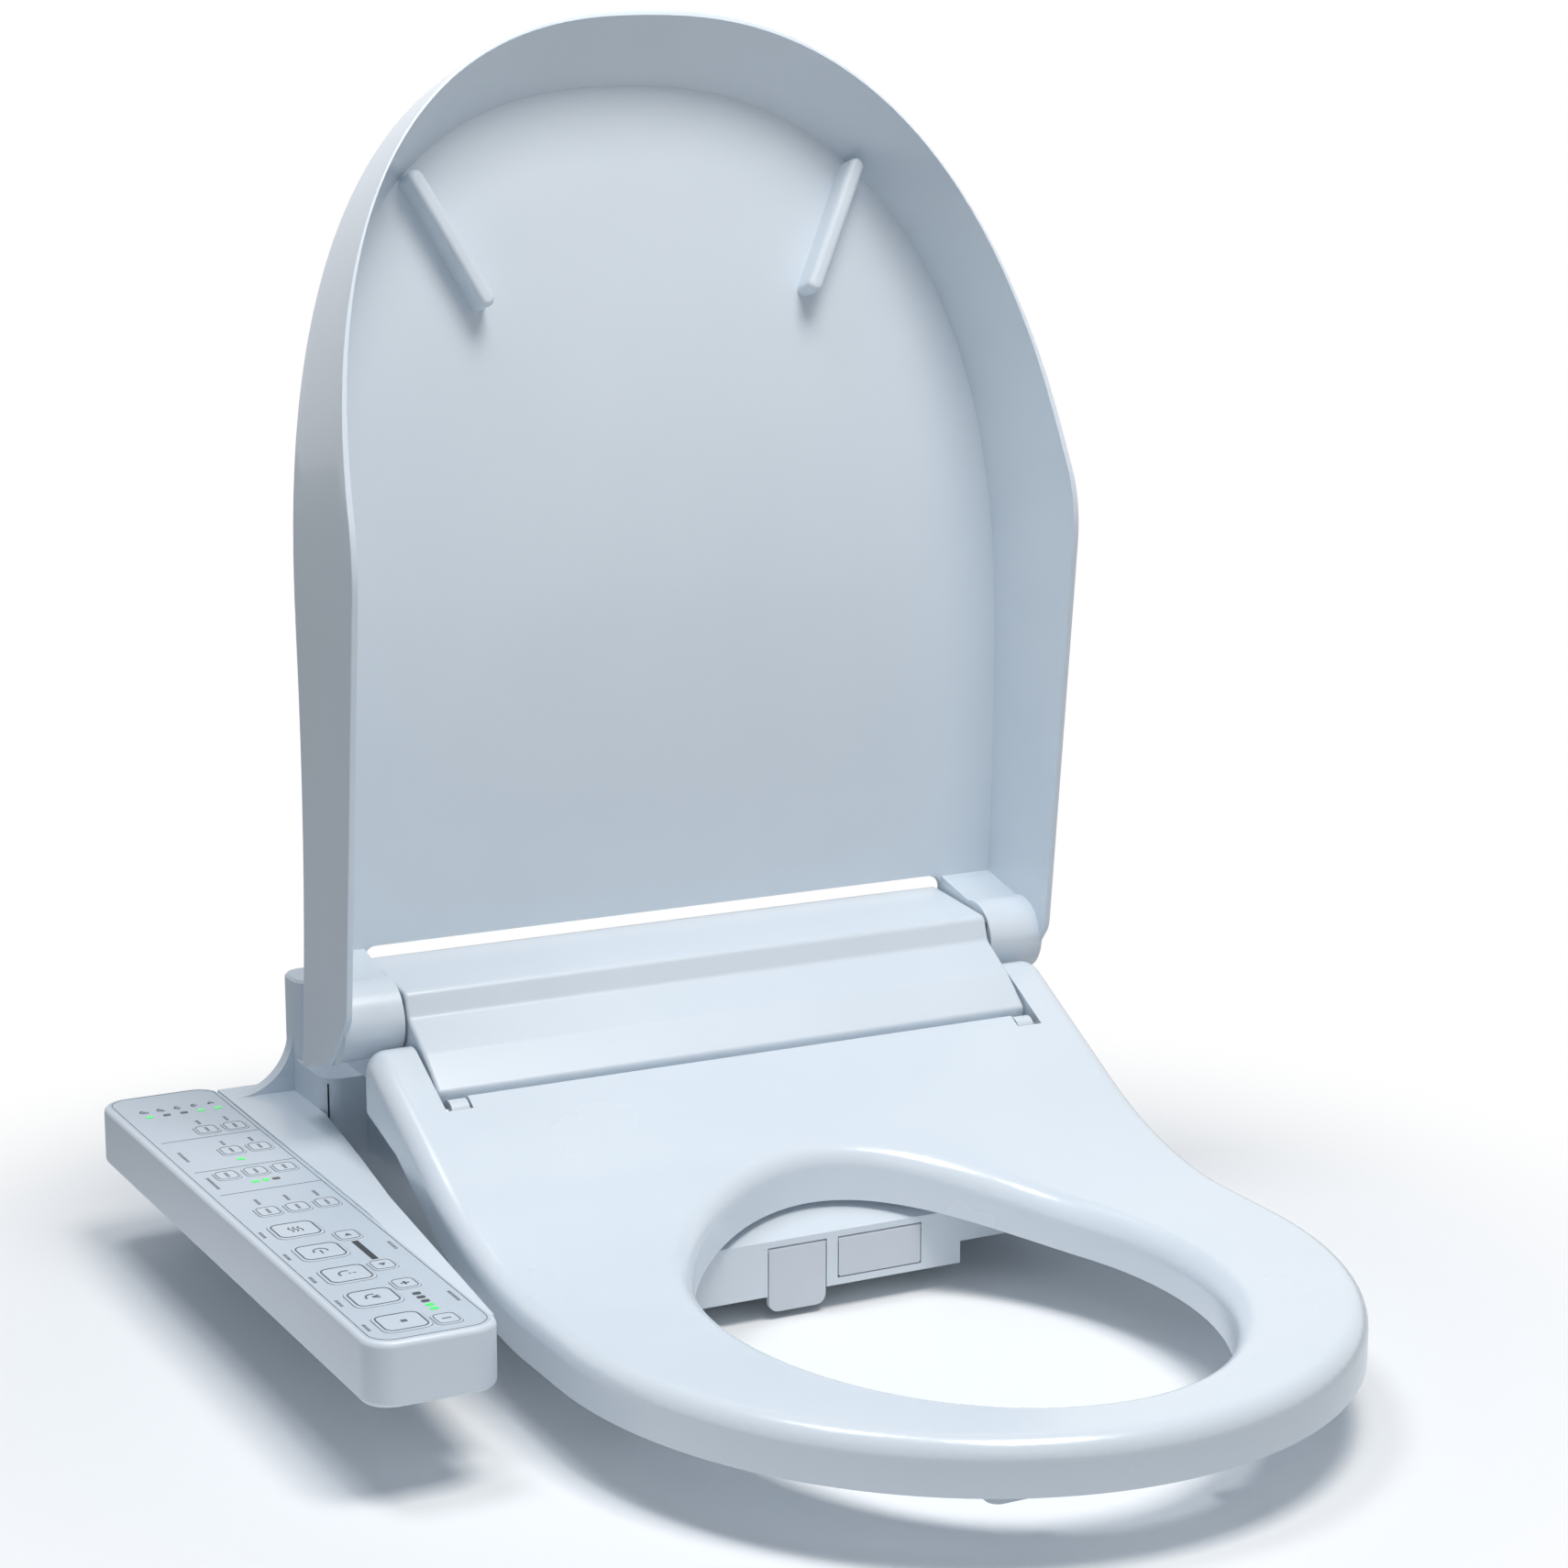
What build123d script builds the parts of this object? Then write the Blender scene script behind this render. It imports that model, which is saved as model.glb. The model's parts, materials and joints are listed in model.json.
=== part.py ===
"""Electric bidet seat: a washing unit on a mounting plate, a heated seat, a lid and a side control panel.

Frame: +Z up, -Y to the front, +X to the right of someone facing it. The origin lies midway between the
two fixing slots, on the plane of the bowl's rim. All sizes are in millimetres, and the lid stands open.
"""

from build123d import *
import math
import os

# Overall layout
RIM_Z = 0.0
BODY_HALF_WIDTH = 157.0
BODY_REAR_Y = 76.0
WALL = 2.6
FIT = 0.3
RUN_FIT = 0.05
FACE_GAP = 0.6

# Widths that follow the washing unit's
COVER_OVERHANG = 2.0
COVER_HALF_WIDTH = BODY_HALF_WIDTH + COVER_OVERHANG
SIDE_GAP = 1.5
EAR_INNER_X = COVER_HALF_WIDTH + SIDE_GAP
EAR_WIDTH = 22.5
SEAT_HALF_WIDTH = EAR_INNER_X + EAR_WIDTH
LID_WALL = 3.0
LID_CLEARANCE = 6.0
LID_HALF_WIDTH = SEAT_HALF_WIDTH + LID_CLEARANCE + LID_WALL
POST_WIDTH = 20.0
POST_HALF_WIDTH = COVER_HALF_WIDTH + POST_WIDTH

# Seat ring and ramp
RING_TOP_Z = 38.0
SEAT_FRONT_Y = -479.0
SEAT_BOW_Y = -277.0
SEAT_DEPTH = 24.0
SEAT_WALL = 4.5
SEAT_EDGE_R = 10.0
RAMP_KNEE_Y = -185.0
KNEE_R = 220.0
FILM_REAR_Y = -245.0
PAD_SPOTS = ((148.0, -262.0), (52.0, SEAT_FRONT_Y + 47.0))
PAD_SIZE = (26.0, 12.0, 5.0)
RING_FRONT_WIDTH = 40.0
OPENING_REAR_Y = -155.0
OPENING_HALF_LENGTH = (OPENING_REAR_Y - SEAT_FRONT_Y - RING_FRONT_WIDTH) / 2
OPENING_Y = OPENING_REAR_Y - OPENING_HALF_LENGTH
OPENING_HALF_WIDTH = 110.0
OPENING_EDGE_R = 12.0
SEAT_PLATE = 3.0
HEATER_FILM = 0.8
FILM_MARGIN = 8.0

# Hinge lines; the casing's heights follow the lid's
LID_AXIS_Y = -30.0
LID_AXIS_Z = 112.0
SEAT_AXIS_Y = -92.0
SEAT_AXIS_DROP = 32.0
SEAT_AXIS_Z = LID_AXIS_Z - SEAT_AXIS_DROP
RAMP_OVER_AXIS = 7.3
RAMP_SLOPE = (SEAT_AXIS_Z + RAMP_OVER_AXIS - RING_TOP_Z) / (SEAT_AXIS_Y - RAMP_KNEE_Y)

# Seat hinge
BARREL_R = 6.5
EAR_TOE_Y = -140.0
EAR_REAR_Y = -46.0
EAR_CREST_R = 12.0
EAR_HEEL_DROP = 4.0
LUG_WIDTH = 9.0
LUG_INNER_X = BODY_HALF_WIDTH - LUG_WIDTH
LUG_R = 6.2
LUG_GAP = 1.0
PIN_R = 3.0
PIN_SINK = 14.0

# Washing unit
POST_FRONT_Y = 48.0
POST_TOP_Z = LID_AXIS_Z - 1.0
WING_FRONT_Y = 14.0
SPLIT_Z = 70.0
NOSE_INSET = 17.0
NOSE_HALF_WIDTH = BODY_HALF_WIDTH - NOSE_INSET
NOSE_FRONT_Y = -168.0
NOSE_FLOOR_Z = -7.0
NOSE_CLEAR = 3.0
KEEL_HALF_WIDTH = 75.0
KEEL_SETBACK = 9.0
COVER_FRONT_Y = -84.0
COVER_EDGE_R = 2.0
LIP_Z = LID_AXIS_Z - 23.0
LIP_SLOPE_Y = -69.0
LIP_SLOPE_Z = LID_AXIS_Z - 9.0
STEP_Y = -49.0
STEP_Z = LID_AXIS_Z + 3.0
RIDGE_Y = -45.0
RIDGE_Z = LID_AXIS_Z + 15.0
CREST_Y = 6.0
CREST_Z = LID_AXIS_Z + 19.0

# Mounting plate
PLATE_HALF_WIDTH = 95.0
PLATE_FRONT_Y = -55.0
PLATE_REAR_Y = 50.0
PLATE_THICKNESS = 4.0
BOLT_SPACING = 140.0
BOLT_SLOT_LENGTH = 24.0
BOLT_SLOT_R = 4.5
BOLT_HEAD_ROOM = 4.0

# Lid, drawn closed and then swung open
LID_SWING = 106.0
LID_TIP_REACH = 15.0
LID_FRONT_Y = SEAT_FRONT_Y - LID_TIP_REACH
LID_BOW_Y = -208.0
LID_PLAN_POWER = 2.38
LID_PLAN_STEPS = 24
LID_EDGE_R = 6.0
LID_BRIM_R = 0.6
LID_TIP_DEPTH = 29.0
LID_INNER_FRONT_Y = LID_FRONT_Y + LID_TIP_DEPTH
LID_INNER_FRONT_Z = RING_TOP_Z + 28.0
LID_OVER_AXIS = 39.0
LID_SAG = 22.7
LID_TIP_Z = 29.0
LID_TIP_FLARE = 0.66
LID_KINK_Y = -237.0
LID_KINK_Z = 3.0
LID_KINK_R = 80.0
LID_HEEL_Y = -30.0
LID_HEEL_Z = LID_AXIS_Z - 25.0
LID_TAIL_Y = -10.0
LID_TAIL_Z = LID_AXIS_Z + 4.0
LID_HEEL_R = 14.0
LID_TAIL_CUT = 8.0
LID_SLOT_Y = -64.0
LID_ARM_X = COVER_HALF_WIDTH + SIDE_GAP
LID_PIN_R = 5.0
LID_PIN_TIP = 4.0
LID_BLOCK_R = 19.0
POCKET_Y = (-44.0, -37.0)
POCKET_HEIGHT = 6.0
POCKET_PITCH = 7.5
POCKET_DEPTH = 10.0
RIB_WIDTH = 8.0
RIB_HEIGHT = 15.0
RIB_EDGE_R = 3.0
RIB_REAR = (88.5, LID_FRONT_Y + 131.0)
RIB_FRONT = (118.0, LID_FRONT_Y + 73.0)

# Control arm and panel
ARM_GAP = 2.0
ARM_INNER_X = -LID_HALF_WIDTH - ARM_GAP
ARM_WIDTH = 19.0
PANEL_WIDTH = 60.0
PANEL_RIGHT_X = ARM_INNER_X - ARM_WIDTH
PANEL_LEFT_X = PANEL_RIGHT_X - PANEL_WIDTH
PANEL_FRONT_Y = -292.0
PANEL_REAR_Y = 82.0
PANEL_TOP_Z = 54.0
PANEL_DEPTH = 29.0
PANEL_CORNER_R = 13.0
PANEL_EDGE_R = 3.0
PANEL_SPLIT = 11.0
PANEL_SKIN = 2.2
ARM_SWEEP_R = 30.0
ARM_TOP_DROP = 0.8
ARM_WAIST_GAP = 3.0
ARM_WAIST_Y = -50.0
ARM_SHOULDER_Y = -112.0
ARM_TOE_Y = -262.0
ARM_TOE_WIDTH = 7.0
ARM_CREASE_RUN = 43.0
ARM_CREASE_Y = (46.0, -130.0)
ARM_FALL = 10.0
ARM_SKIN = 9.0
BOARD = 1.6

# Hinge brackets and screws
BRACKET_INSET = 3.0
BRACKET_WIDTH = 12.5
BRACKET_X = (BODY_HALF_WIDTH - BRACKET_INSET - BRACKET_WIDTH, BODY_HALF_WIDTH - BRACKET_INSET)
BRACKET_Y = (-45.0, -15.0)
DAMPER_R = 9.5
DAMPER_LENGTH = 42.0
SCREW_R = 1.6
SCREW_HEAD_R = 3.0
SCREW_HEAD = 2.0
SCREW_LENGTH = 12.0
SCREW_BOSS_R = 3.6
SCREW_INSET = 8.0
SCREW_SETBACK = 12.0

# Keys
KEY_GAP = 0.3
KEY_PROUD = 0.4
KEY_TRAVEL = 0.6
KEY_SKIRT = 1.0
KEY_SMALL = (11.5, 13.0, 3.0)
KEY_LARGE = (22.0, 21.0, 4.5)
SMALL_INSET = 12.5
SMALL_PITCH = 14.0
SMALL_X = tuple(PANEL_RIGHT_X - SMALL_INSET - index * SMALL_PITCH for index in (2, 1, 0))
LARGE_INSET = 22.0
LARGE_X = PANEL_LEFT_X + LARGE_INSET
SIDE_INSET = 20.0
SIDE_X = PANEL_RIGHT_X - SIDE_INSET
ROW_Y = (13.5, -22.5, -57.0, -114.0)
LARGE_FIRST_Y = -143.0
LARGE_PITCH = 32.0
POSITION_Y = (-160.0, -203.0)
PRESSURE_Y = (-229.0, -276.0)
LED_R = 1.1
LIGHT_INSET = 15.0
LIGHT_FIRST_X = PANEL_LEFT_X + LIGHT_INSET
LIGHT_PITCH = 8.7
LIGHT_ROW_Y = 45.0
LIGHT_DROP = 14.0
LIGHT_STEP = 5.0

# Wash nozzle, shutter and flap
NOZZLE_X = -13.0
NOZZLE_TILT = 20.0
NOZZLE_R = 6.0
NOZZLE_FACE_Z = 3.0
NOZZLE_TIP_Y = -141.0
NOZZLE_LENGTH = 120.0
NOZZLE_HEAD = 24.0
NOZZLE_CRADLE_GAP = 0.3
NOZZLE_NOSE_R = 4.8
JET_SPOTS = (8.0, 11.0, 17.0, 20.0)
JET_R = 0.7
JET_DEPTH = 3.0
GUIDE_HALF = 10.0
GUIDE_SETBACK = 8.0
GUIDE_REAR_Y = -40.0
MOTOR_R = 12.0
MOTOR_LENGTH = 18.0
FACE_HINGE_Z = 15.0
FACE_PIN_R = 0.8
FACE_PIN_REACH = 2.5
SHUTTER_HALF_WIDTH = 15.0
SHUTTER_DROP = 30.0
SHUTTER_CORNER_R = 5.0
FLAP_X = (9.0, 53.0)
FLAP_DROP = 18.0

# Water and air
BLOWER_X = 32.0
BLOWER_Y = -38.0
BLOWER_R = 30.0
BLOWER_HEIGHT = 36.0
BLOWER_WALL = 2.0
FAN_R = 24.0
FAN_BLADE_ROOT_R = 17.0
FAN_BLADES = 14
FAN_SHAFT_R = 2.0
TANK_GAP = 4.0
TANK_INSET = 18.0
TANK_X = (BLOWER_X + BLOWER_R + TANK_GAP, BODY_HALF_WIDTH - TANK_INSET)
TANK_Y = (-72.0, -6.0)
TANK_HEIGHT = 52.0
TANK_WALL = 3.0
COIL_R = 3.5
VALVE_INSET = 11.0
VALVE_WIDTH = 30.0
VALVE_X = (BODY_HALF_WIDTH - VALVE_INSET - VALVE_WIDTH, BODY_HALF_WIDTH - VALVE_INSET)
VALVE_HALF = 9.0
INLET_Y = 46.0
INLET_Z = 30.0
INLET_R = 10.4
INLET_NECK_R = 9.4
INLET_NECK = 1.5
INLET_BORE_R = 5.5
INLET_LENGTH = 15.0
GLAND_INSET = 37.0
GLAND_X = BODY_HALF_WIDTH - GLAND_INSET
GLAND_Z = 34.0
GLAND_R = 9.0
GLAND_BORE_R = 4.2

# Circuit boards
BOARD_Z = 30.0
BOARD_GAP = 21.0
MAIN_BOARD = (-NOSE_HALF_WIDTH, -35.0, 22.0, 70.0)
POWER_BOARD = (-25.0, VALVE_X[0] - BOARD_GAP, 26.0, 70.0)
MAIN_PARTS = ((0.25, 16.0, 14.0), (0.7, 10.0, 8.0))
POWER_PARTS = ((0.3, 22.0, 24.0), (0.75, 14.0, 18.0))


def block(x0, x1, y0, y1, z0, z1):
    """Axis-aligned block between two corners."""
    return Pos((x0 + x1) / 2, (y0 + y1) / 2, (z0 + z1) / 2) * Box(x1 - x0, y1 - y0, z1 - z0)


def rod_x(y, z, radius, x0, x1):
    """Round bar along X."""
    return Pos((x0 + x1) / 2, y, z) * Rot(0, 90, 0) * Cylinder(radius, x1 - x0)


def rod_y(x, z, radius, y0, y1):
    """Round bar along Y."""
    return Pos(x, (y0 + y1) / 2, z) * Rot(90, 0, 0) * Cylinder(radius, y1 - y0)


def rod_z(x, y, radius, z0, z1):
    """Round bar along Z."""
    return Pos(x, y, (z0 + z1) / 2) * Cylinder(radius, z1 - z0)


def run_along_x(face, x0, x1, blends):
    """Side face of (y, z) run along X, after rounding its (y, z, radius) corners."""
    for y, z, radius in blends:
        corner = face.vertices().sort_by_distance((y, z, 0))[0]
        face = fillet(corner, radius)
    return extrude(Plane.YZ.offset(x0) * face, x1 - x0)


def side_prism(points, x0, x1, blends=()):
    """Side outline of (y, z) points, run along X; blends are (y, z, radius) corners to round."""
    return run_along_x(make_face(Polyline(*points, close=True)), x0, x1, blends)


def plan_oval(half_width, rear_y, bow_y, front_y, z0, z1):
    """Plan shape with straight sides and an elliptical front, raised from z0 to z1."""
    edges = [
        Line((half_width, rear_y), (-half_width, rear_y)),
        Line((-half_width, rear_y), (-half_width, bow_y)),
        EllipticalCenterArc((0, bow_y), half_width, bow_y - front_y, 180, arc_size=180),
        Line((half_width, bow_y), (half_width, rear_y)),
    ]
    return extrude(Pos(0, 0, z0) * make_face(edges), z1 - z0)


def mirrored(solid):
    """A solid together with its mirror image across the middle plane."""
    return [solid, mirror(solid, about=Plane.YZ)]


def save(name, shapes):
    """Write one piece, or one group of like pieces, to its own file."""
    items = shapes if isinstance(shapes, list) else [shapes]
    solids = [solid for item in items for solid in item.solids()]
    export_step(Compound(children=solids) if len(solids) > 1 else solids[0], f"parts/{name}.step")


def ramp_z(y):
    """Height of the seat's top at a place on its ramp."""
    return RING_TOP_Z + (y - RAMP_KNEE_Y) * RAMP_SLOPE


def seat_band(top_drop, bottom_drop, rear_y, half_width):
    """Band of the seat's side outline between two depths below its top."""
    front_y = SEAT_FRONT_Y - SEAT_EDGE_R
    top = RING_TOP_Z - top_drop
    bottom = RING_TOP_Z - bottom_drop
    points = [
        (front_y, bottom),
        (front_y, top),
        (RAMP_KNEE_Y, top),
        (rear_y, ramp_z(rear_y) - top_drop),
        (rear_y, ramp_z(rear_y) - bottom_drop),
        (RAMP_KNEE_Y, bottom),
    ]
    blends = [(RAMP_KNEE_Y, top, KNEE_R), (RAMP_KNEE_Y, bottom, KNEE_R)]
    return side_prism(points, -half_width, half_width, blends)


def seat_plan(inset, rear_y):
    """The seat's plan, drawn in by an inset, far taller than the seat."""
    half_width = SEAT_HALF_WIDTH - inset
    return plan_oval(half_width, rear_y, SEAT_BOW_Y, SEAT_FRONT_Y + inset, RIM_Z, 2 * SEAT_AXIS_Z)


def seat_opening(grow):
    """The opening's plan, grown by a margin."""
    plan = Ellipse(OPENING_HALF_WIDTH + grow, OPENING_HALF_LENGTH + grow)
    return extrude(Pos(0, OPENING_Y, RIM_Z) * plan, 2 * SEAT_AXIS_Z)


def on_seat_rim(point):
    """True for a point on the seat's outer plan line."""
    if point.Y > SEAT_BOW_Y:
        return abs(abs(point.X) - SEAT_HALF_WIDTH) < 0.05
    reach = (point.X / SEAT_HALF_WIDTH) ** 2 + ((point.Y - SEAT_BOW_Y) / (SEAT_BOW_Y - SEAT_FRONT_Y)) ** 2
    return abs(reach - 1) < 0.001


def on_opening_rim(point):
    """True for a point on the opening's plan line."""
    reach = (point.X / OPENING_HALF_WIDTH) ** 2 + ((point.Y - OPENING_Y) / OPENING_HALF_LENGTH) ** 2
    return abs(reach - 1) < 0.001


def seat_top_z(y):
    """Height of the seat's top at any place, without the knee's blend."""
    return max(RING_TOP_Z, ramp_z(y))


def seat_ear():
    """Ear at one rear corner of the seat, which carries the ramp on past the hinge line."""
    points = [
        (EAR_TOE_Y, ramp_z(EAR_TOE_Y)),
        (EAR_REAR_Y, ramp_z(EAR_REAR_Y)),
        (EAR_REAR_Y, SEAT_AXIS_Z - EAR_HEEL_DROP),
        (SEAT_AXIS_Y, ramp_z(SEAT_AXIS_Y) - SEAT_DEPTH),
        (EAR_TOE_Y, ramp_z(EAR_TOE_Y) - SEAT_DEPTH),
    ]
    blends = [(EAR_REAR_Y, ramp_z(EAR_REAR_Y), EAR_CREST_R)]
    return side_prism(points, EAR_INNER_X, SEAT_HALF_WIDTH, blends)


def seat_top():
    """Upper shell of the seat, with its ramp, its hinge barrel and two ears."""
    band = seat_band(0, SEAT_DEPTH, SEAT_AXIS_Y, 2 * SEAT_HALF_WIDTH)
    shell = band & seat_plan(0, SEAT_AXIS_Y)
    for side in mirrored(seat_ear()):
        shell = shell + side
    shell = shell - seat_opening(0)
    tops = [e for e in shell.edges() if e.center().Z > seat_top_z(e.center().Y) - SEAT_DEPTH / 2]
    shell = fillet([e for e in tops if on_seat_rim(e @ 0.5)], SEAT_EDGE_R)
    tops = [e for e in shell.edges() if (e @ 0.5).Z > seat_top_z((e @ 0.5).Y) - SEAT_DEPTH / 2]
    shell = fillet([e for e in tops if on_opening_rim(e @ 0.5)], OPENING_EDGE_R)
    inner_rear = SEAT_AXIS_Y - BARREL_R - SEAT_WALL
    cavity = seat_band(SEAT_WALL, 2 * SEAT_DEPTH, inner_rear, 2 * SEAT_HALF_WIDTH)
    cavity = (cavity & seat_plan(SEAT_WALL, inner_rear)) - seat_opening(SEAT_WALL)
    shell = shell - cavity
    shell = shell + rod_x(SEAT_AXIS_Y, SEAT_AXIS_Z, BARREL_R, -LUG_INNER_X, LUG_INNER_X)
    slot_y = SEAT_AXIS_Y - LUG_R - LUG_GAP
    slot = block(LUG_INNER_X - LUG_GAP, EAR_INNER_X, slot_y, 0, RIM_Z, 2 * SEAT_AXIS_Z)
    for side in mirrored(slot):
        shell = shell - side
    for side in mirrored(rod_x(SEAT_AXIS_Y, SEAT_AXIS_Z, PIN_R + RUN_FIT, pin_inner_x(), pin_outer_x())):
        shell = shell - side
    return shell


def pin_inner_x():
    """Inner end of a seat hinge pin."""
    return LUG_INNER_X - PIN_SINK


def pin_outer_x():
    """Outer end of a seat hinge pin."""
    return EAR_INNER_X + PIN_SINK


def seat_base():
    """Plate that closes the underside of the seat."""
    rear_y = SEAT_AXIS_Y - BARREL_R - SEAT_WALL - FIT
    plate = seat_band(SEAT_DEPTH - SEAT_PLATE, SEAT_DEPTH, rear_y, 2 * SEAT_HALF_WIDTH)
    return (plate & seat_plan(SEAT_WALL + FIT, rear_y)) - seat_opening(SEAT_WALL + FIT)


def seat_heater():
    """Warming film under the seat's upper shell."""
    margin = SEAT_WALL + FILM_MARGIN
    film = seat_band(SEAT_WALL, SEAT_WALL + HEATER_FILM, SEAT_AXIS_Y, 2 * SEAT_HALF_WIDTH)
    return (film & seat_plan(margin, FILM_REAR_Y)) - seat_opening(margin)


def seat_bumpers():
    """Four rubber pads under the seat."""
    pads = []
    for x, y in PAD_SPOTS:
        foot = RectangleRounded(*PAD_SIZE)
        pads += mirrored(extrude(Pos(x, y, RIM_Z) * foot, RING_TOP_Z - SEAT_DEPTH - RIM_Z))
    return pads


def lid_arc():
    """Centre (y, z) and radius of the closed lid's inner face, a shallow arc in side view."""
    run = LID_AXIS_Y - LID_INNER_FRONT_Y
    rise = LID_AXIS_Z + LID_OVER_AXIS - LID_INNER_FRONT_Z
    chord = math.hypot(run, rise)
    radius = (chord**2 / 4 + LID_SAG**2) / (2 * LID_SAG)
    reach = radius - LID_SAG
    centre_y = LID_INNER_FRONT_Y + run / 2 - reach * rise / chord
    centre_z = LID_INNER_FRONT_Z + rise / 2 + reach * run / chord
    return centre_y, centre_z, radius


def lid_inner_z(y, over=0):
    """Height of the closed lid's inner face, or of a face that lies over it."""
    centre_y, centre_z, radius = lid_arc()
    return centre_z - math.sqrt((radius - over) ** 2 - (y - centre_y) ** 2)


def under_lid(front_y, rear_y, points, over=0, blends=()):
    """Solid under the lid's arc from front to rear, closed below through (y, z) points."""
    ys = (front_y, (front_y + rear_y) / 2, rear_y)
    front, middle, rear = [(y, lid_inner_z(y, over)) for y in ys]
    face = make_face([ThreePointArc(front, middle, rear), Polyline(rear, *points, front)])
    return run_along_x(face, -2 * LID_HALF_WIDTH, 2 * LID_HALF_WIDTH, blends)


def lid_brim_z(y):
    """Height of the closed lid's lower edge, without the kink's blend."""
    if y < LID_KINK_Y:
        return LID_KINK_Z + (LID_TIP_Z - LID_KINK_Z) * (LID_KINK_Y - y) / (LID_KINK_Y - LID_FRONT_Y)
    return LID_KINK_Z + (LID_HEEL_Z - LID_KINK_Z) * (y - LID_KINK_Y) / (LID_HEEL_Y - LID_KINK_Y)


def lid_outline(half_width, depth):
    """Plan face of the lid, with straight sides and a full, rounded front of a given depth."""
    points = []
    for step in range(LID_PLAN_STEPS + 1):
        angle = math.pi * step / LID_PLAN_STEPS
        across = abs(math.cos(angle)) ** (2 / LID_PLAN_POWER)
        along = math.sin(angle) ** (2 / LID_PLAN_POWER) if 0 < step < LID_PLAN_STEPS else 0.0
        points.append((-math.copysign(across, math.cos(angle)) * half_width, -depth * along))
    rear_y = 2 * (WING_FRONT_Y - LID_BOW_Y)
    edges = [
        Line((half_width, rear_y), (-half_width, rear_y)),
        Line((-half_width, rear_y), (-half_width, 0)),
        Spline(*points, tangents=((0, -1), (0, 1))),
        Line((half_width, 0), (half_width, rear_y)),
    ]
    return make_face(edges)


def lid_plan():
    """The lid's plan, far taller than the lid."""
    outline = lid_outline(LID_HALF_WIDTH, LID_BOW_Y - LID_FRONT_Y)
    return extrude(Pos(0, LID_BOW_Y, -LID_AXIS_Z) * outline, 3 * LID_AXIS_Z)


def on_lid_rim(point):
    """True for a point on the lid's plan line."""
    if point.Y > LID_BOW_Y:
        return abs(abs(point.X) - LID_HALF_WIDTH) < 0.05
    along = (LID_BOW_Y - point.Y) / (LID_BOW_Y - LID_FRONT_Y)
    return abs(abs(point.X / LID_HALF_WIDTH) ** LID_PLAN_POWER + along ** LID_PLAN_POWER - 1) < 0.005


def lid_room():
    """Space under the closed lid's inner face, whose wall leans in from the tip's brim."""
    front_y = LID_FRONT_Y - LID_EDGE_R
    rear_y = WING_FRONT_Y
    room = under_lid(front_y, rear_y, [(rear_y, -LID_AXIS_Z), (front_y, -LID_AXIS_Z)])
    depth = LID_BOW_Y - LID_FRONT_Y - LID_WALL
    outline = lid_outline(LID_HALF_WIDTH - LID_WALL, depth)
    slices = []
    for z in (-LID_AXIS_Z, 2 * LID_AXIS_Z):
        stretch = 1 - (z - LID_TIP_Z) * LID_TIP_FLARE / depth
        slices.append(Pos(0, LID_BOW_Y, z) * scale(outline, by=(1, stretch, 1)))
    return room & loft(slices, ruled=True)


def opened(solid):
    """Swing a piece of the closed lid up to its open place."""
    return solid.rotate(Axis((0, LID_AXIS_Y, LID_AXIS_Z), (-1, 0, 0)), LID_SWING)


def lid_outer():
    """The closed lid's outside: a sloping top, a skirt with a kink, and a rounded tail."""
    front_y = LID_FRONT_Y - LID_EDGE_R
    rear_y = LID_TAIL_Y - LID_TAIL_CUT
    points = [
        (LID_TAIL_Y, lid_inner_z(LID_TAIL_Y, LID_WALL) - LID_TAIL_CUT),
        (LID_TAIL_Y, LID_TAIL_Z),
        (LID_HEEL_Y, LID_HEEL_Z),
        (LID_KINK_Y, LID_KINK_Z),
        (front_y, LID_TIP_Z),
    ]
    blends = [
        (LID_KINK_Y, LID_KINK_Z, LID_KINK_R),
        (LID_HEEL_Y, LID_HEEL_Z, LID_HEEL_R),
        (LID_TAIL_Y, LID_TAIL_Z, LID_HEEL_R),
    ]
    outer = under_lid(front_y, rear_y, points, LID_WALL, blends) & lid_plan()
    tops = [e for e in outer.edges() if (e @ 0.5).Z > lid_inner_z((e @ 0.5).Y)]
    return fillet([e for e in tops if on_lid_rim(e @ 0.5)], LID_EDGE_R)


def lid_arm(outer):
    """Hinge block at one end of the lid's rear edge."""
    end_x = LID_HALF_WIDTH - LID_WALL / 2
    web = side_prism(
        [
            (LID_SLOT_Y, lid_inner_z(LID_SLOT_Y, LID_WALL / 2)),
            (LID_TAIL_Y - LID_TAIL_CUT, lid_inner_z(LID_TAIL_Y - LID_TAIL_CUT, LID_WALL / 2)),
            (LID_AXIS_Y + LID_BLOCK_R, LID_AXIS_Z),
            (LID_AXIS_Y - LID_BLOCK_R, LID_AXIS_Z),
        ],
        LID_ARM_X,
        end_x,
    )
    return (web & outer) + rod_x(LID_AXIS_Y, LID_AXIS_Z, LID_BLOCK_R, LID_ARM_X, end_x)


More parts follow.
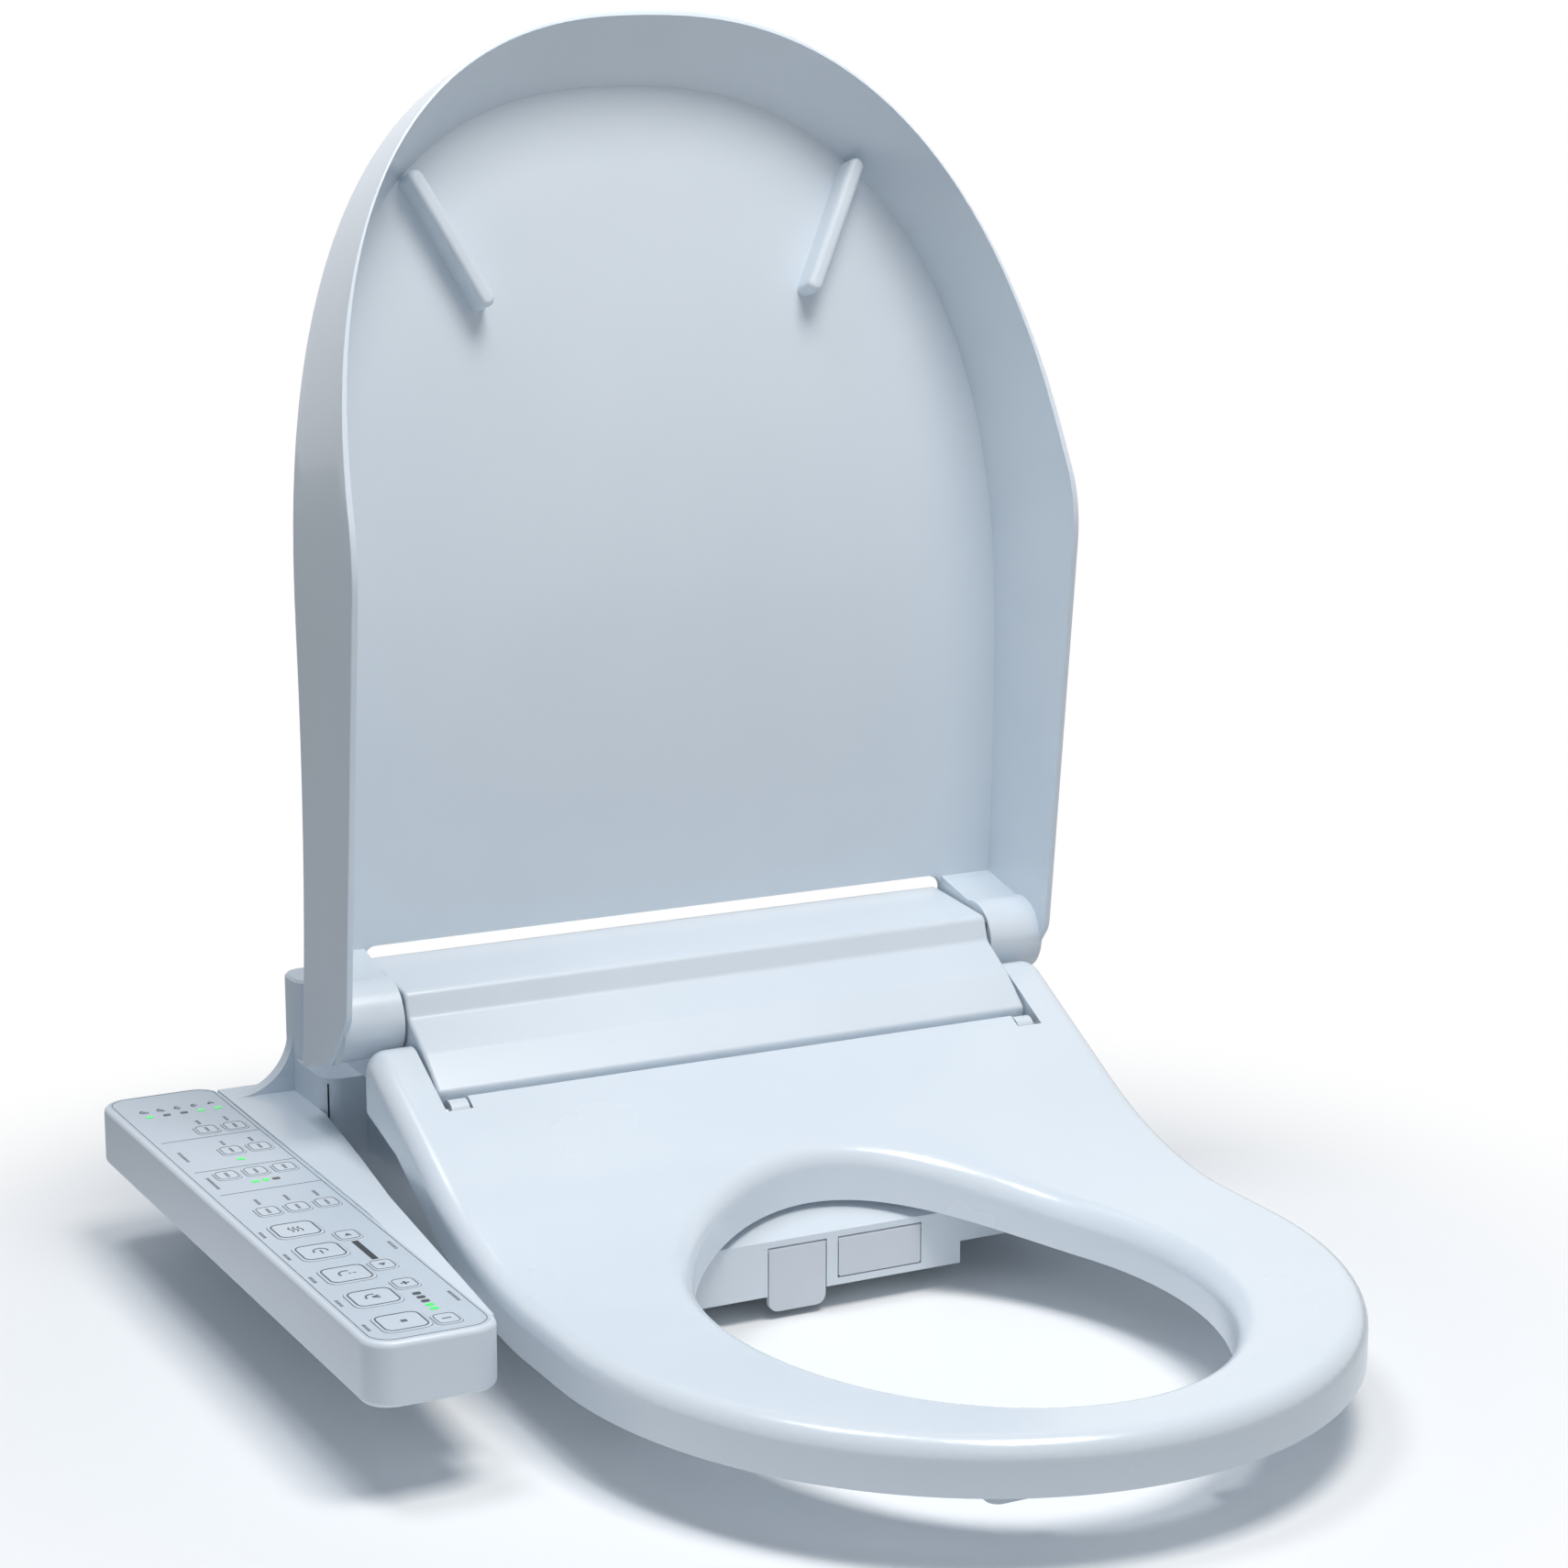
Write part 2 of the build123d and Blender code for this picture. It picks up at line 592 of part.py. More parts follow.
def lid_shell():
    """Tray-shaped lid with a deep skirt, two hinge blocks and a slot between them."""
    outer = lid_outer()
    shell = outer - lid_room()
    brim = [e for e in shell.edges() if abs((e @ 0.5).Z - lid_brim_z((e @ 0.5).Y)) < LID_WALL]
    shell = fillet([e for e in brim if on_lid_rim(e @ 0.5)], LID_BRIM_R)
    slot = block(-LID_ARM_X, LID_ARM_X, LID_SLOT_Y, WING_FRONT_Y, LID_AXIS_Z, 2 * LID_AXIS_Z)
    slot = fillet(slot.edges().filter_by(Axis.Z).group_by(Axis.Y)[0], LID_WALL * 2)
    shell = shell - slot
    bore_end = LID_HALF_WIDTH - LID_WALL - LID_PIN_TIP + FIT
    bore = rod_x(LID_AXIS_Y, LID_AXIS_Z, LID_PIN_R + RUN_FIT, LID_ARM_X, bore_end)
    for side in mirrored(lid_arm(outer)):
        shell = shell + side
    for side in mirrored(bore):
        shell = shell - side
    shell = opened(shell)
    for index in (-1, 0, 1):
        middle = LID_AXIS_Z + index * POCKET_PITCH
        low = middle - POCKET_HEIGHT / 2
        pocket = block(LID_ARM_X, LID_ARM_X + POCKET_DEPTH, *POCKET_Y, low, low + POCKET_HEIGHT)
        for side in mirrored(pocket):
            shell = shell - side
    return shell


def lid_ribs():
    """Two splayed ribs on the lid's inner face."""
    run = math.dist(RIB_REAR, RIB_FRONT)
    turn = math.degrees(math.atan2(RIB_FRONT[1] - RIB_REAR[1], RIB_FRONT[0] - RIB_REAR[0]))
    middle = [(a + b) / 2 for a, b in zip(RIB_REAR, RIB_FRONT)]
    foot = Pos(*middle, RIM_Z) * Rot(0, 0, turn) * SlotOverall(run + RIB_WIDTH, RIB_WIDTH)
    below = [(LID_BOW_Y, RIM_Z), (LID_FRONT_Y, RIM_Z)]
    rib = extrude(foot, 2 * LID_AXIS_Z) & under_lid(LID_FRONT_Y, LID_BOW_Y, below)
    rib = rib - under_lid(LID_FRONT_Y, LID_BOW_Y, below, -RIB_HEIGHT)
    low = [e for e in rib.edges() if (e @ 0.5).Z < lid_inner_z((e @ 0.5).Y, -RIB_HEIGHT) + FIT]
    rib = fillet(low, RIB_EDGE_R) & lid_room()
    return [opened(side) for side in mirrored(rib)]


def base_floor_z():
    """Underside of the washing unit, which sits on the mounting plate."""
    return RIM_Z + PLATE_THICKNESS


def inside_floor_z():
    """Upper face of the washing unit's floor."""
    return base_floor_z() + WALL


def nose_top_z(y):
    """Top of the nose, under the seat's ramp."""
    return ramp_z(y) - SEAT_DEPTH - NOSE_CLEAR


def nose(inset):
    """Wedge-shaped nose under the seat and its keel inside the bowl, drawn in by an inset."""
    front_y = NOSE_FRONT_Y + inset
    rear_y = COVER_FRONT_Y + inset
    floor_z = base_floor_z() + inset
    heel_y = COVER_FRONT_Y - KEEL_SETBACK
    wedge = [
        (front_y, floor_z),
        (front_y, nose_top_z(front_y) - inset),
        (rear_y, nose_top_z(rear_y) - inset),
        (rear_y, floor_z),
    ]
    keel = [
        (front_y, NOSE_FLOOR_Z + inset),
        (front_y, floor_z + WALL),
        (heel_y, floor_z + WALL),
        (heel_y, floor_z),
        (heel_y - base_floor_z() + NOSE_FLOOR_Z, NOSE_FLOOR_Z + inset),
    ]
    upper = side_prism(wedge, -NOSE_HALF_WIDTH + inset, NOSE_HALF_WIDTH - inset)
    return upper + side_prism(keel, -KEEL_HALF_WIDTH + inset, KEEL_HALF_WIDTH - inset)


def face_axis_y():
    """Hinge line of the shutter and the flap, in the middle of the nose's front wall."""
    return NOSE_FRONT_Y + WALL / 2


def face_window(x0, x1, low):
    """Window in the nose's front wall for a hanging plate."""
    top = FACE_HINGE_Z + WALL / 2 + FACE_GAP
    inner_y = NOSE_FRONT_Y + WALL + FACE_GAP
    return block(x0 - FACE_GAP, x1 + FACE_GAP, NOSE_FRONT_Y - WALL, inner_y, low, top)


def screw_spots():
    """Places of the screws that hold the casing together, both sides."""
    x = BODY_HALF_WIDTH - SCREW_INSET
    ys = (COVER_FRONT_Y + SCREW_SETBACK, BODY_REAR_Y - SCREW_SETBACK)
    return [(side * x, y) for side in (-1, 1) for y in ys]


def board_posts(x0, x1, y0, y1):
    """Places of the four posts under a circuit board."""
    inset = 2 * SCREW_BOSS_R
    return [(x, y) for x in (x0 + inset, x1 - inset) for y in (y0 + inset, y1 - inset)]


def hinge_lug():
    """Lug on the casing's front wall that carries one seat hinge pin."""
    neck = side_prism(
        [
            (SEAT_AXIS_Y - LUG_R, SEAT_AXIS_Z),
            (SEAT_AXIS_Y + LUG_R, SEAT_AXIS_Z),
            (COVER_FRONT_Y, SPLIT_Z),
            (COVER_FRONT_Y + WALL, SPLIT_Z),
            (COVER_FRONT_Y + WALL, SPLIT_Z - SEAT_DEPTH),
        ],
        LUG_INNER_X,
        BODY_HALF_WIDTH,
    )
    lug = neck + rod_x(SEAT_AXIS_Y, SEAT_AXIS_Z, LUG_R, LUG_INNER_X, BODY_HALF_WIDTH)
    return lug - rod_x(SEAT_AXIS_Y, SEAT_AXIS_Z, PIN_R + RUN_FIT, LUG_INNER_X, BODY_HALF_WIDTH)


def base_case():
    """Lower casing: a tray with a nose under the seat, two rear posts and the hinge lugs."""
    floor_z = base_floor_z()
    inner_z = inside_floor_z()
    tray = block(-BODY_HALF_WIDTH, BODY_HALF_WIDTH, COVER_FRONT_Y, BODY_REAR_Y, floor_z, SPLIT_Z)
    rear = block(-POST_HALF_WIDTH, POST_HALF_WIDTH, WING_FRONT_Y, BODY_REAR_Y, floor_z, SPLIT_Z)
    post_x = COVER_HALF_WIDTH + FACE_GAP
    post = block(post_x, POST_HALF_WIDTH, POST_FRONT_Y, BODY_REAR_Y, floor_z, POST_TOP_Z)
    corners = post.edges().filter_by(Axis.Z).group_by(Axis.X)[-1]
    post = fillet(corners, SEAT_EDGE_R)
    post = chamfer(post.faces().sort_by(Axis.Z)[-1].edges(), WALL / 2)
    rear_corners = rear.edges().filter_by(Axis.Z)
    case = tray + fillet(rear_corners, SEAT_EDGE_R) + nose(0)
    for side in mirrored(post):
        case = case + side
    half = BODY_HALF_WIDTH - WALL
    rear_y = BODY_REAR_Y - WALL
    case = case - block(-half, half, COVER_FRONT_Y + WALL, rear_y, inner_z, POST_TOP_Z)
    wing = block(half, POST_HALF_WIDTH - WALL, WING_FRONT_Y + WALL, rear_y, inner_z, SPLIT_Z - WALL)
    for side in mirrored(wing):
        case = case - side
    case = case - nose(WALL)
    throat_z = nose_top_z(COVER_FRONT_Y) - 2 * WALL
    throat_y = (COVER_FRONT_Y - 2 * WALL, COVER_FRONT_Y + 2 * WALL)
    case = case - block(WALL - NOSE_HALF_WIDTH, NOSE_HALF_WIDTH - WALL, *throat_y, inner_z, throat_z)
    shutter_x = (NOZZLE_X - SHUTTER_HALF_WIDTH, NOZZLE_X + SHUTTER_HALF_WIDTH)
    case = case - face_window(*shutter_x, NOSE_FLOOR_Z - WALL)
    case = case - face_window(*FLAP_X, FACE_HINGE_Z - FLAP_DROP - FACE_GAP)
    for x0, x1 in (shutter_x, FLAP_X):
        reach = FACE_GAP + FACE_PIN_REACH + FIT
        case = case - rod_x(face_axis_y(), FACE_HINGE_Z, FACE_PIN_R + RUN_FIT, x0 - reach, x1 + reach)
    for side in mirrored(hinge_lug()):
        case = case + side
    for x, y in screw_spots():
        case = case + rod_z(x, y, SCREW_BOSS_R, floor_z, floor_z + SCREW_LENGTH + WALL)
        case = case - rod_z(x, y, SCREW_R + RUN_FIT, floor_z, floor_z + SCREW_LENGTH + FIT)
    for x in (-BOLT_SPACING / 2, BOLT_SPACING / 2):
        pocket = SlotOverall(BOLT_SLOT_LENGTH + 2 * BOLT_HEAD_ROOM, 2 * BOLT_SLOT_R + 2 * BOLT_HEAD_ROOM)
        case = case - extrude(Pos(x, 0, floor_z) * pocket, WALL)
    for board in (MAIN_BOARD, POWER_BOARD):
        for x, y in board_posts(*board):
            case = case + rod_z(x, y, SCREW_BOSS_R, inner_z - FIT, BOARD_Z)
    inlet_x = (POST_HALF_WIDTH - 2 * WALL, POST_HALF_WIDTH + WALL)
    case = case - rod_x(INLET_Y, INLET_Z, INLET_NECK_R + RUN_FIT, *inlet_x)
    return case - rod_y(GLAND_X, GLAND_Z, GLAND_R + RUN_FIT, BODY_REAR_Y - 2 * WALL, BODY_REAR_Y + WALL)


def top_cover():
    """Upper casing: a rounded lip over the seat, a slope, a stepped ridge and a sloping rear."""
    lip_y = COVER_FRONT_Y - FACE_GAP * 2
    points = [
        (COVER_FRONT_Y, SPLIT_Z),
        (COVER_FRONT_Y, LIP_Z - 2 * WALL),
        (lip_y, LIP_Z - WALL),
        (lip_y, LIP_Z),
        (LIP_SLOPE_Y, LIP_SLOPE_Z),
        (STEP_Y, STEP_Z),
        (RIDGE_Y, RIDGE_Z),
        (CREST_Y, CREST_Z),
        (BODY_REAR_Y, POST_TOP_Z),
        (BODY_REAR_Y, SPLIT_Z),
    ]
    blends = [
        (lip_y, LIP_Z, WALL),
        (LIP_SLOPE_Y, LIP_SLOPE_Z, SEAT_EDGE_R),
        (STEP_Y, STEP_Z, SEAT_WALL),
        (RIDGE_Y, RIDGE_Z, SEAT_WALL),
        (CREST_Y, CREST_Z, SEAT_WALL),
        (BODY_REAR_Y, POST_TOP_Z, SEAT_EDGE_R),
    ]
    cover = side_prism(points, -COVER_HALF_WIDTH, COVER_HALF_WIDTH, blends)
    ends = [e for e in cover.edges() if abs(abs((e @ 0.5).X) - COVER_HALF_WIDTH) < FIT]
    cover = fillet([e for e in ends if (e @ 0.5).Z > LIP_Z - WALL], COVER_EDGE_R)
    inside = [
        (COVER_FRONT_Y + WALL, SPLIT_Z - WALL),
        (COVER_FRONT_Y + WALL, LIP_Z - WALL),
        (LIP_SLOPE_Y + WALL, LIP_SLOPE_Z - WALL),
        (STEP_Y + WALL, STEP_Z - WALL),
        (RIDGE_Y + 2 * WALL, RIDGE_Z - WALL),
        (CREST_Y, CREST_Z - WALL),
        (BODY_REAR_Y - WALL, POST_TOP_Z - WALL),
        (BODY_REAR_Y - WALL, SPLIT_Z - WALL),
    ]
    cover = cover - side_prism(inside, -COVER_HALF_WIDTH + WALL, COVER_HALF_WIDTH - WALL)
    for side in mirrored(rod_x(LID_AXIS_Y, LID_AXIS_Z, LID_PIN_R + RUN_FIT, BRACKET_X[0], LID_ARM_X)):
        cover = cover - side
    return cover


def mounting_plate():
    """Plate that stays on the bowl, with two slots for the fixing bolts."""
    plate = block(-PLATE_HALF_WIDTH, PLATE_HALF_WIDTH, PLATE_FRONT_Y, PLATE_REAR_Y, RIM_Z, base_floor_z())
    plate = fillet(plate.edges().filter_by(Axis.Z), SEAT_EDGE_R)
    for x in (-BOLT_SPACING / 2, BOLT_SPACING / 2):
        slot = Pos(x, 0, RIM_Z) * SlotOverall(BOLT_SLOT_LENGTH, 2 * BOLT_SLOT_R)
        plate = plate - extrude(slot, PLATE_THICKNESS)
    return plate


def base_screws():
    """Screws that hold the casing together from below."""
    screws = []
    for x, y in screw_spots():
        head = rod_z(x, y, SCREW_HEAD_R, base_floor_z() - SCREW_HEAD, base_floor_z())
        screws.append(head + rod_z(x, y, SCREW_R, base_floor_z(), base_floor_z() + SCREW_LENGTH))
    return screws


def hinge_brackets():
    """Pair of brackets inside the casing that carry the lid's pins."""
    bracket = block(*BRACKET_X, *BRACKET_Y, inside_floor_z(), LID_AXIS_Z)
    bracket = bracket + rod_x(LID_AXIS_Y, LID_AXIS_Z, LID_PIN_R + 2 * WALL, *BRACKET_X)
    return mirrored(bracket - rod_x(LID_AXIS_Y, LID_AXIS_Z, LID_PIN_R + RUN_FIT, *BRACKET_X))


def lid_hinge_pins():
    """Pair of pins that the lid turns on."""
    end_x = LID_HALF_WIDTH - LID_WALL - LID_PIN_TIP
    return mirrored(rod_x(LID_AXIS_Y, LID_AXIS_Z, LID_PIN_R, BRACKET_X[0], end_x))


def seat_hinge_pins():
    """Pair of pins that the seat turns on."""
    return mirrored(rod_x(SEAT_AXIS_Y, SEAT_AXIS_Z, PIN_R, pin_inner_x() + FIT, pin_outer_x() - FIT))


def lid_damper():
    """Rotary damper on the inner end of the lid's left pin."""
    end = -BRACKET_X[0]
    return rod_x(LID_AXIS_Y, LID_AXIS_Z, DAMPER_R, end, end + DAMPER_LENGTH)


def water_tank():
    """Closed warm-water tank."""
    top = inside_floor_z() + TANK_HEIGHT
    tank = block(*TANK_X, *TANK_Y, inside_floor_z(), top)
    tank = fillet(tank.edges().filter_by(Axis.Z), SEAT_EDGE_R)
    room = block(
        TANK_X[0] + TANK_WALL, TANK_X[1] - TANK_WALL, TANK_Y[0] + TANK_WALL, TANK_Y[1] - TANK_WALL,
        inside_floor_z() + TANK_WALL, top - TANK_WALL,
    )
    return tank - fillet(room.edges().filter_by(Axis.Z), SEAT_EDGE_R - TANK_WALL)


def heater_element():
    """Straight heating rod between the tank's ends."""
    y = (TANK_Y[0] + TANK_Y[1]) / 2
    z = inside_floor_z() + TANK_HEIGHT / 3
    return rod_x(y, z, COIL_R, TANK_X[0] + TANK_WALL, TANK_X[1] - TANK_WALL)


def water_inlet():
    """Threaded-size water stub with a flange inside the casing's right wall."""
    wall_x = POST_HALF_WIDTH - WALL
    stub_x = POST_HALF_WIDTH + INLET_NECK
    end_x = stub_x + INLET_LENGTH
    stub = rod_x(INLET_Y, INLET_Z, INLET_NECK_R, VALVE_X[1], stub_x)
    stub = stub + rod_x(INLET_Y, INLET_Z, INLET_R, stub_x, end_x)
    stub = stub + rod_x(INLET_Y, INLET_Z, INLET_R + WALL, wall_x - WALL, wall_x)
    return stub - rod_x(INLET_Y, INLET_Z, INLET_BORE_R, VALVE_X[1], end_x)


def inlet_valve():
    """Shut-off valve behind the water stub, with its coil on top."""
    half = INLET_R + WALL
    valve = block(*VALVE_X, INLET_Y - half, INLET_Y + half, inside_floor_z(), INLET_Z + half)
    return valve + rod_z(sum(VALVE_X) / 2, INLET_Y, INLET_R, INLET_Z, INLET_Z + 3 * INLET_R)


def flow_valve():
    """Flow-switching valve beside the tank."""
    x = (TANK_X[0] + TANK_X[1]) / 2
    body_y = (TANK_Y[1] + FACE_GAP, 2 * VALVE_HALF - FACE_GAP)
    body = block(x - VALVE_HALF, x + VALVE_HALF, *body_y, inside_floor_z(), INLET_Z)
    return body + rod_z(x, VALVE_HALF / 2, VALVE_HALF / 2, inside_floor_z(), 2 * INLET_Z)


def circuit_board(spot, parts):
    """Board on its posts, with upright blocks for its larger parts."""
    x0, x1, y0, y1 = spot
    board = block(x0, x1, y0, y1, BOARD_Z, BOARD_Z + BOARD)
    for fraction, width, height in parts:
        x = x0 + fraction * (x1 - x0) - width / 2
        y = (y0 + y1) / 2 - width / 2
        board = board + block(x, x + width, y, y + width, BOARD_Z, BOARD_Z + height)
    return board


def nozzle_place(along):
    """Place on the nozzle's line, measured back from its tip, with Z along the line."""
    rise = math.radians(NOZZLE_TILT)
    tip_z = NOZZLE_FACE_Z + (NOZZLE_TIP_Y - NOSE_FRONT_Y) * math.tan(rise)
    place = (NOZZLE_X, NOZZLE_TIP_Y + along * math.cos(rise), tip_z + along * math.sin(rise))
    return Pos(*place) * Rot(NOZZLE_TILT - 90, 0, 0)


def nozzle_bar(radius, start, end):
    """Round bar on the nozzle's line between two places behind its tip."""
    return nozzle_place((start + end) / 2) * Cylinder(radius, end - start)


def nozzle_tube():
    """Sliding tube of the wash nozzle."""
    return nozzle_bar(NOZZLE_R, NOZZLE_HEAD, NOZZLE_LENGTH)


def nozzle_head():
    """Rounded spray head with two rows of jets on top."""
    head = nozzle_bar(NOZZLE_R, 0, NOZZLE_HEAD)
    ends = head.faces().filter_by(GeomType.PLANE).sort_by(Axis.Y)
    head = fillet(ends[0].edges(), NOZZLE_NOSE_R)
    for along in JET_SPOTS:
        up = nozzle_place(along) * Rot(-90, 0, 0) * Pos(0, 0, NOZZLE_R)
        head = head - up * Cylinder(JET_R, JET_DEPTH)
    return head


def nozzle_line_z(y):
    """Height of the nozzle's line above a place."""
    return NOZZLE_FACE_Z + (y - NOSE_FRONT_Y) * math.tan(math.radians(NOZZLE_TILT))


def nozzle_guide():
    """Cradle that the nozzle slides in, standing on the casing's floor."""
    front_y = NOZZLE_TIP_Y + GUIDE_SETBACK
    heel_y = COVER_FRONT_Y - KEEL_SETBACK
    step = base_floor_z() - NOSE_FLOOR_Z
    points = [
        (front_y, NOSE_FLOOR_Z + WALL),
        (front_y, nozzle_line_z(front_y)),
        (GUIDE_REAR_Y, nozzle_line_z(GUIDE_REAR_Y)),
        (GUIDE_REAR_Y, inside_floor_z()),
        (heel_y, inside_floor_z()),
        (heel_y - step, NOSE_FLOOR_Z + WALL),
    ]
    guide = side_prism(points, NOZZLE_X - GUIDE_HALF, NOZZLE_X + GUIDE_HALF)
    return guide - nozzle_bar(NOZZLE_R + NOZZLE_CRADLE_GAP, -NOZZLE_LENGTH, 2 * NOZZLE_LENGTH)


def nozzle_motor():
    """Stepper motor on the side of the nozzle's cradle."""
    x1 = NOZZLE_X - GUIDE_HALF
    y = GUIDE_REAR_Y - 2 * MOTOR_R
    return rod_x(y, inside_floor_z() + MOTOR_R, MOTOR_R, x1 - MOTOR_LENGTH, x1)


def swing_plate(x0, x1, drop, corner):
    """Hanging plate, as thick as the wall it closes, on a pin along its rounded top."""
    plate = block(x0, x1, NOSE_FRONT_Y, NOSE_FRONT_Y + WALL, FACE_HINGE_Z - drop, FACE_HINGE_Z)
    plate = fillet(plate.edges().filter_by(Axis.Y).group_by(Axis.Z)[0], corner)
    plate = plate + rod_x(face_axis_y(), FACE_HINGE_Z, WALL / 2, x0, x1)
    reach = FACE_GAP + FACE_PIN_REACH
    return plate + rod_x(face_axis_y(), FACE_HINGE_Z, FACE_PIN_R, x0 - reach, x1 + reach)


def nozzle_shutter():
    """Shutter that hangs in front of the nozzle."""
    left = NOZZLE_X - SHUTTER_HALF_WIDTH
    return swing_plate(left, left + 2 * SHUTTER_HALF_WIDTH, SHUTTER_DROP, SHUTTER_CORNER_R)


def dryer_flap():
    """Flap over the warm-air outlet."""
    return swing_plate(*FLAP_X, FLAP_DROP, WALL / 2)


def blower_housing():
    """Drum-shaped blower housing with its outlet to the front."""
    low = inside_floor_z()
    top = low + BLOWER_HEIGHT
    drum = rod_z(BLOWER_X, BLOWER_Y, BLOWER_R, low, top)
    drum = drum - rod_z(BLOWER_X, BLOWER_Y, BLOWER_R - BLOWER_WALL, low + BLOWER_WALL, top - BLOWER_WALL)
    drum = drum - rod_z(BLOWER_X, BLOWER_Y, FAN_SHAFT_R + FACE_GAP, top - 2 * BLOWER_WALL, top)
    outlet = block(
        BLOWER_X - BLOWER_R / 2, BLOWER_X + BLOWER_R / 2, BLOWER_Y - BLOWER_R - WALL, BLOWER_Y,
        low + 2 * BLOWER_WALL, top - 2 * BLOWER_WALL,
    )
    return drum - outlet


def blower_motor():
    """Blower motor on top of its housing."""
    low = inside_floor_z() + BLOWER_HEIGHT
    motor = rod_z(BLOWER_X, BLOWER_Y, MOTOR_R, low, low + 2 * MOTOR_R)
    return motor - rod_z(BLOWER_X, BLOWER_Y, FAN_SHAFT_R + RUN_FIT, low, low + MOTOR_R)


def fan_wheel():
    """Bladed fan wheel on its shaft."""
    low = inside_floor_z() + BLOWER_WALL + FACE_GAP
    top = inside_floor_z() + BLOWER_HEIGHT - BLOWER_WALL - FACE_GAP
    shaft_top = inside_floor_z() + BLOWER_HEIGHT + MOTOR_R - FIT
    wheel = rod_z(BLOWER_X, BLOWER_Y, FAN_R, low, low + BLOWER_WALL)
    wheel = wheel + rod_z(BLOWER_X, BLOWER_Y, 3 * FAN_SHAFT_R, low, top)
    wheel = wheel + rod_z(BLOWER_X, BLOWER_Y, FAN_SHAFT_R, low, shaft_top)
    blade = block(FAN_BLADE_ROOT_R, FAN_R, -BLOWER_WALL / 4, BLOWER_WALL / 4, low, top)
    for index in range(FAN_BLADES):
        turn = index * 360 / FAN_BLADES
        wheel = wheel + Pos(BLOWER_X, BLOWER_Y, 0) * Rot(0, 0, turn) * blade
    return wheel


def dryer_duct():
    """Air duct from the blower to the outlet in the nose."""
    low = inside_floor_z()
    heel_y = COVER_FRONT_Y - KEEL_SETBACK
    step = base_floor_z() - NOSE_FLOOR_Z
    rear_y = BLOWER_Y - BLOWER_R - FIT
    front_y = NOSE_FRONT_Y + WALL + FACE_GAP
    top = FACE_HINGE_Z

    def outline(inset):
        return [
            (front_y, NOSE_FLOOR_Z + WALL + inset),
            (front_y, top - inset),
            (rear_y, low + BLOWER_HEIGHT - inset),
            (rear_y, low + inset),
            (heel_y, low + inset),
            (heel_y - step, NOSE_FLOOR_Z + WALL + inset),
        ]

    half = BLOWER_R / 2
    duct = side_prism(outline(0), BLOWER_X - half, BLOWER_X + half)
    bore_half = half - BLOWER_WALL
    return duct - side_prism(outline(BLOWER_WALL), BLOWER_X - bore_half, BLOWER_X + bore_half)


def power_gland():
    """Bushed outlet for the power lead in the rear wall."""
    inside = BODY_REAR_Y - WALL
    gland = rod_y(GLAND_X, GLAND_Z, GLAND_R, inside - WALL, BODY_REAR_Y + 2 * WALL)
    gland = gland + rod_y(GLAND_X, GLAND_Z, GLAND_R + WALL, inside - WALL, inside)
    return gland - rod_y(GLAND_X, GLAND_Z, GLAND_BORE_R, inside - WALL, BODY_REAR_Y + 2 * WALL)


def control_arm():
    """Shelf beside the seat that carries the control panel, swept up into the rear post."""
    low = PANEL_TOP_Z - PANEL_DEPTH
    top = PANEL_TOP_Z - ARM_TOP_DROP
    plan = [
        (PANEL_RIGHT_X, BODY_REAR_Y),
        (-POST_HALF_WIDTH, BODY_REAR_Y),
        (-POST_HALF_WIDTH, WING_FRONT_Y),
        (-SEAT_HALF_WIDTH - ARM_WAIST_GAP, ARM_WAIST_Y),
        (ARM_INNER_X, ARM_SHOULDER_Y),
        (PANEL_RIGHT_X + ARM_TOE_WIDTH, ARM_TOE_Y),
        (PANEL_RIGHT_X, ARM_TOE_Y),
    ]
    outline = make_face(Polyline(*plan, close=True))
    shelf = extrude(Pos(0, 0, low) * outline, top - low)
    rear_y, end_y = ARM_CREASE_Y
    crease = Vector(-ARM_CREASE_RUN, end_y - rear_y, 0).normalized()
    fall = math.radians(ARM_FALL)
    across = Vector(-crease.Y, crease.X, 0)
    tilt = across * math.sin(fall) + Vector(0, 0, math.cos(fall))
    slope = Plane(origin=(PANEL_RIGHT_X, end_y, top), x_dir=crease, z_dir=tilt)
    reach = 2 * LID_HALF_WIDTH
    shelf = shelf - slope * Pos(0, 0, reach / 2) * Box(2 * reach, 2 * reach, reach)
    inner = offset(outline, -WALL, kind=Kind.INTERSECTION)
    shelf = shelf - extrude(Pos(0, 0, low) * inner, top - low - ARM_SKIN)
    foot = (-POST_HALF_WIDTH - ARM_SWEEP_R, top)
    head = (-POST_HALF_WIDTH, top + ARM_SWEEP_R)
    swell = ARM_SWEEP_R * (1 - math.sqrt(0.5))
    middle = (-POST_HALF_WIDTH - swell, top + swell)
    root = (-POST_HALF_WIDTH, top)
    face = make_face([Line(root, head), ThreePointArc(head, middle, foot), Line(foot, root)])
    rear = BODY_REAR_Y - SEAT_EDGE_R
    sweep = extrude(Plane.XZ.offset(-rear) * face, rear - POST_FRONT_Y - SEAT_EDGE_R)
    return shelf + sweep


def panel_plan(inset, z0, z1):
    """Rounded panel outline, drawn in by an inset."""
    width = PANEL_RIGHT_X - PANEL_LEFT_X
    length = PANEL_REAR_Y - PANEL_FRONT_Y
    place = Pos((PANEL_LEFT_X + PANEL_RIGHT_X) / 2, (PANEL_FRONT_Y + PANEL_REAR_Y) / 2, z0)
    plan = RectangleRounded(width - 2 * inset, length - 2 * inset, PANEL_CORNER_R - inset)
    return extrude(place * plan, z1 - z0)


def panel_board_z():
    """Underside of the panel's circuit board."""
    return PANEL_TOP_Z - PANEL_SKIN - KEY_TRAVEL - KEY_SKIRT - BOARD


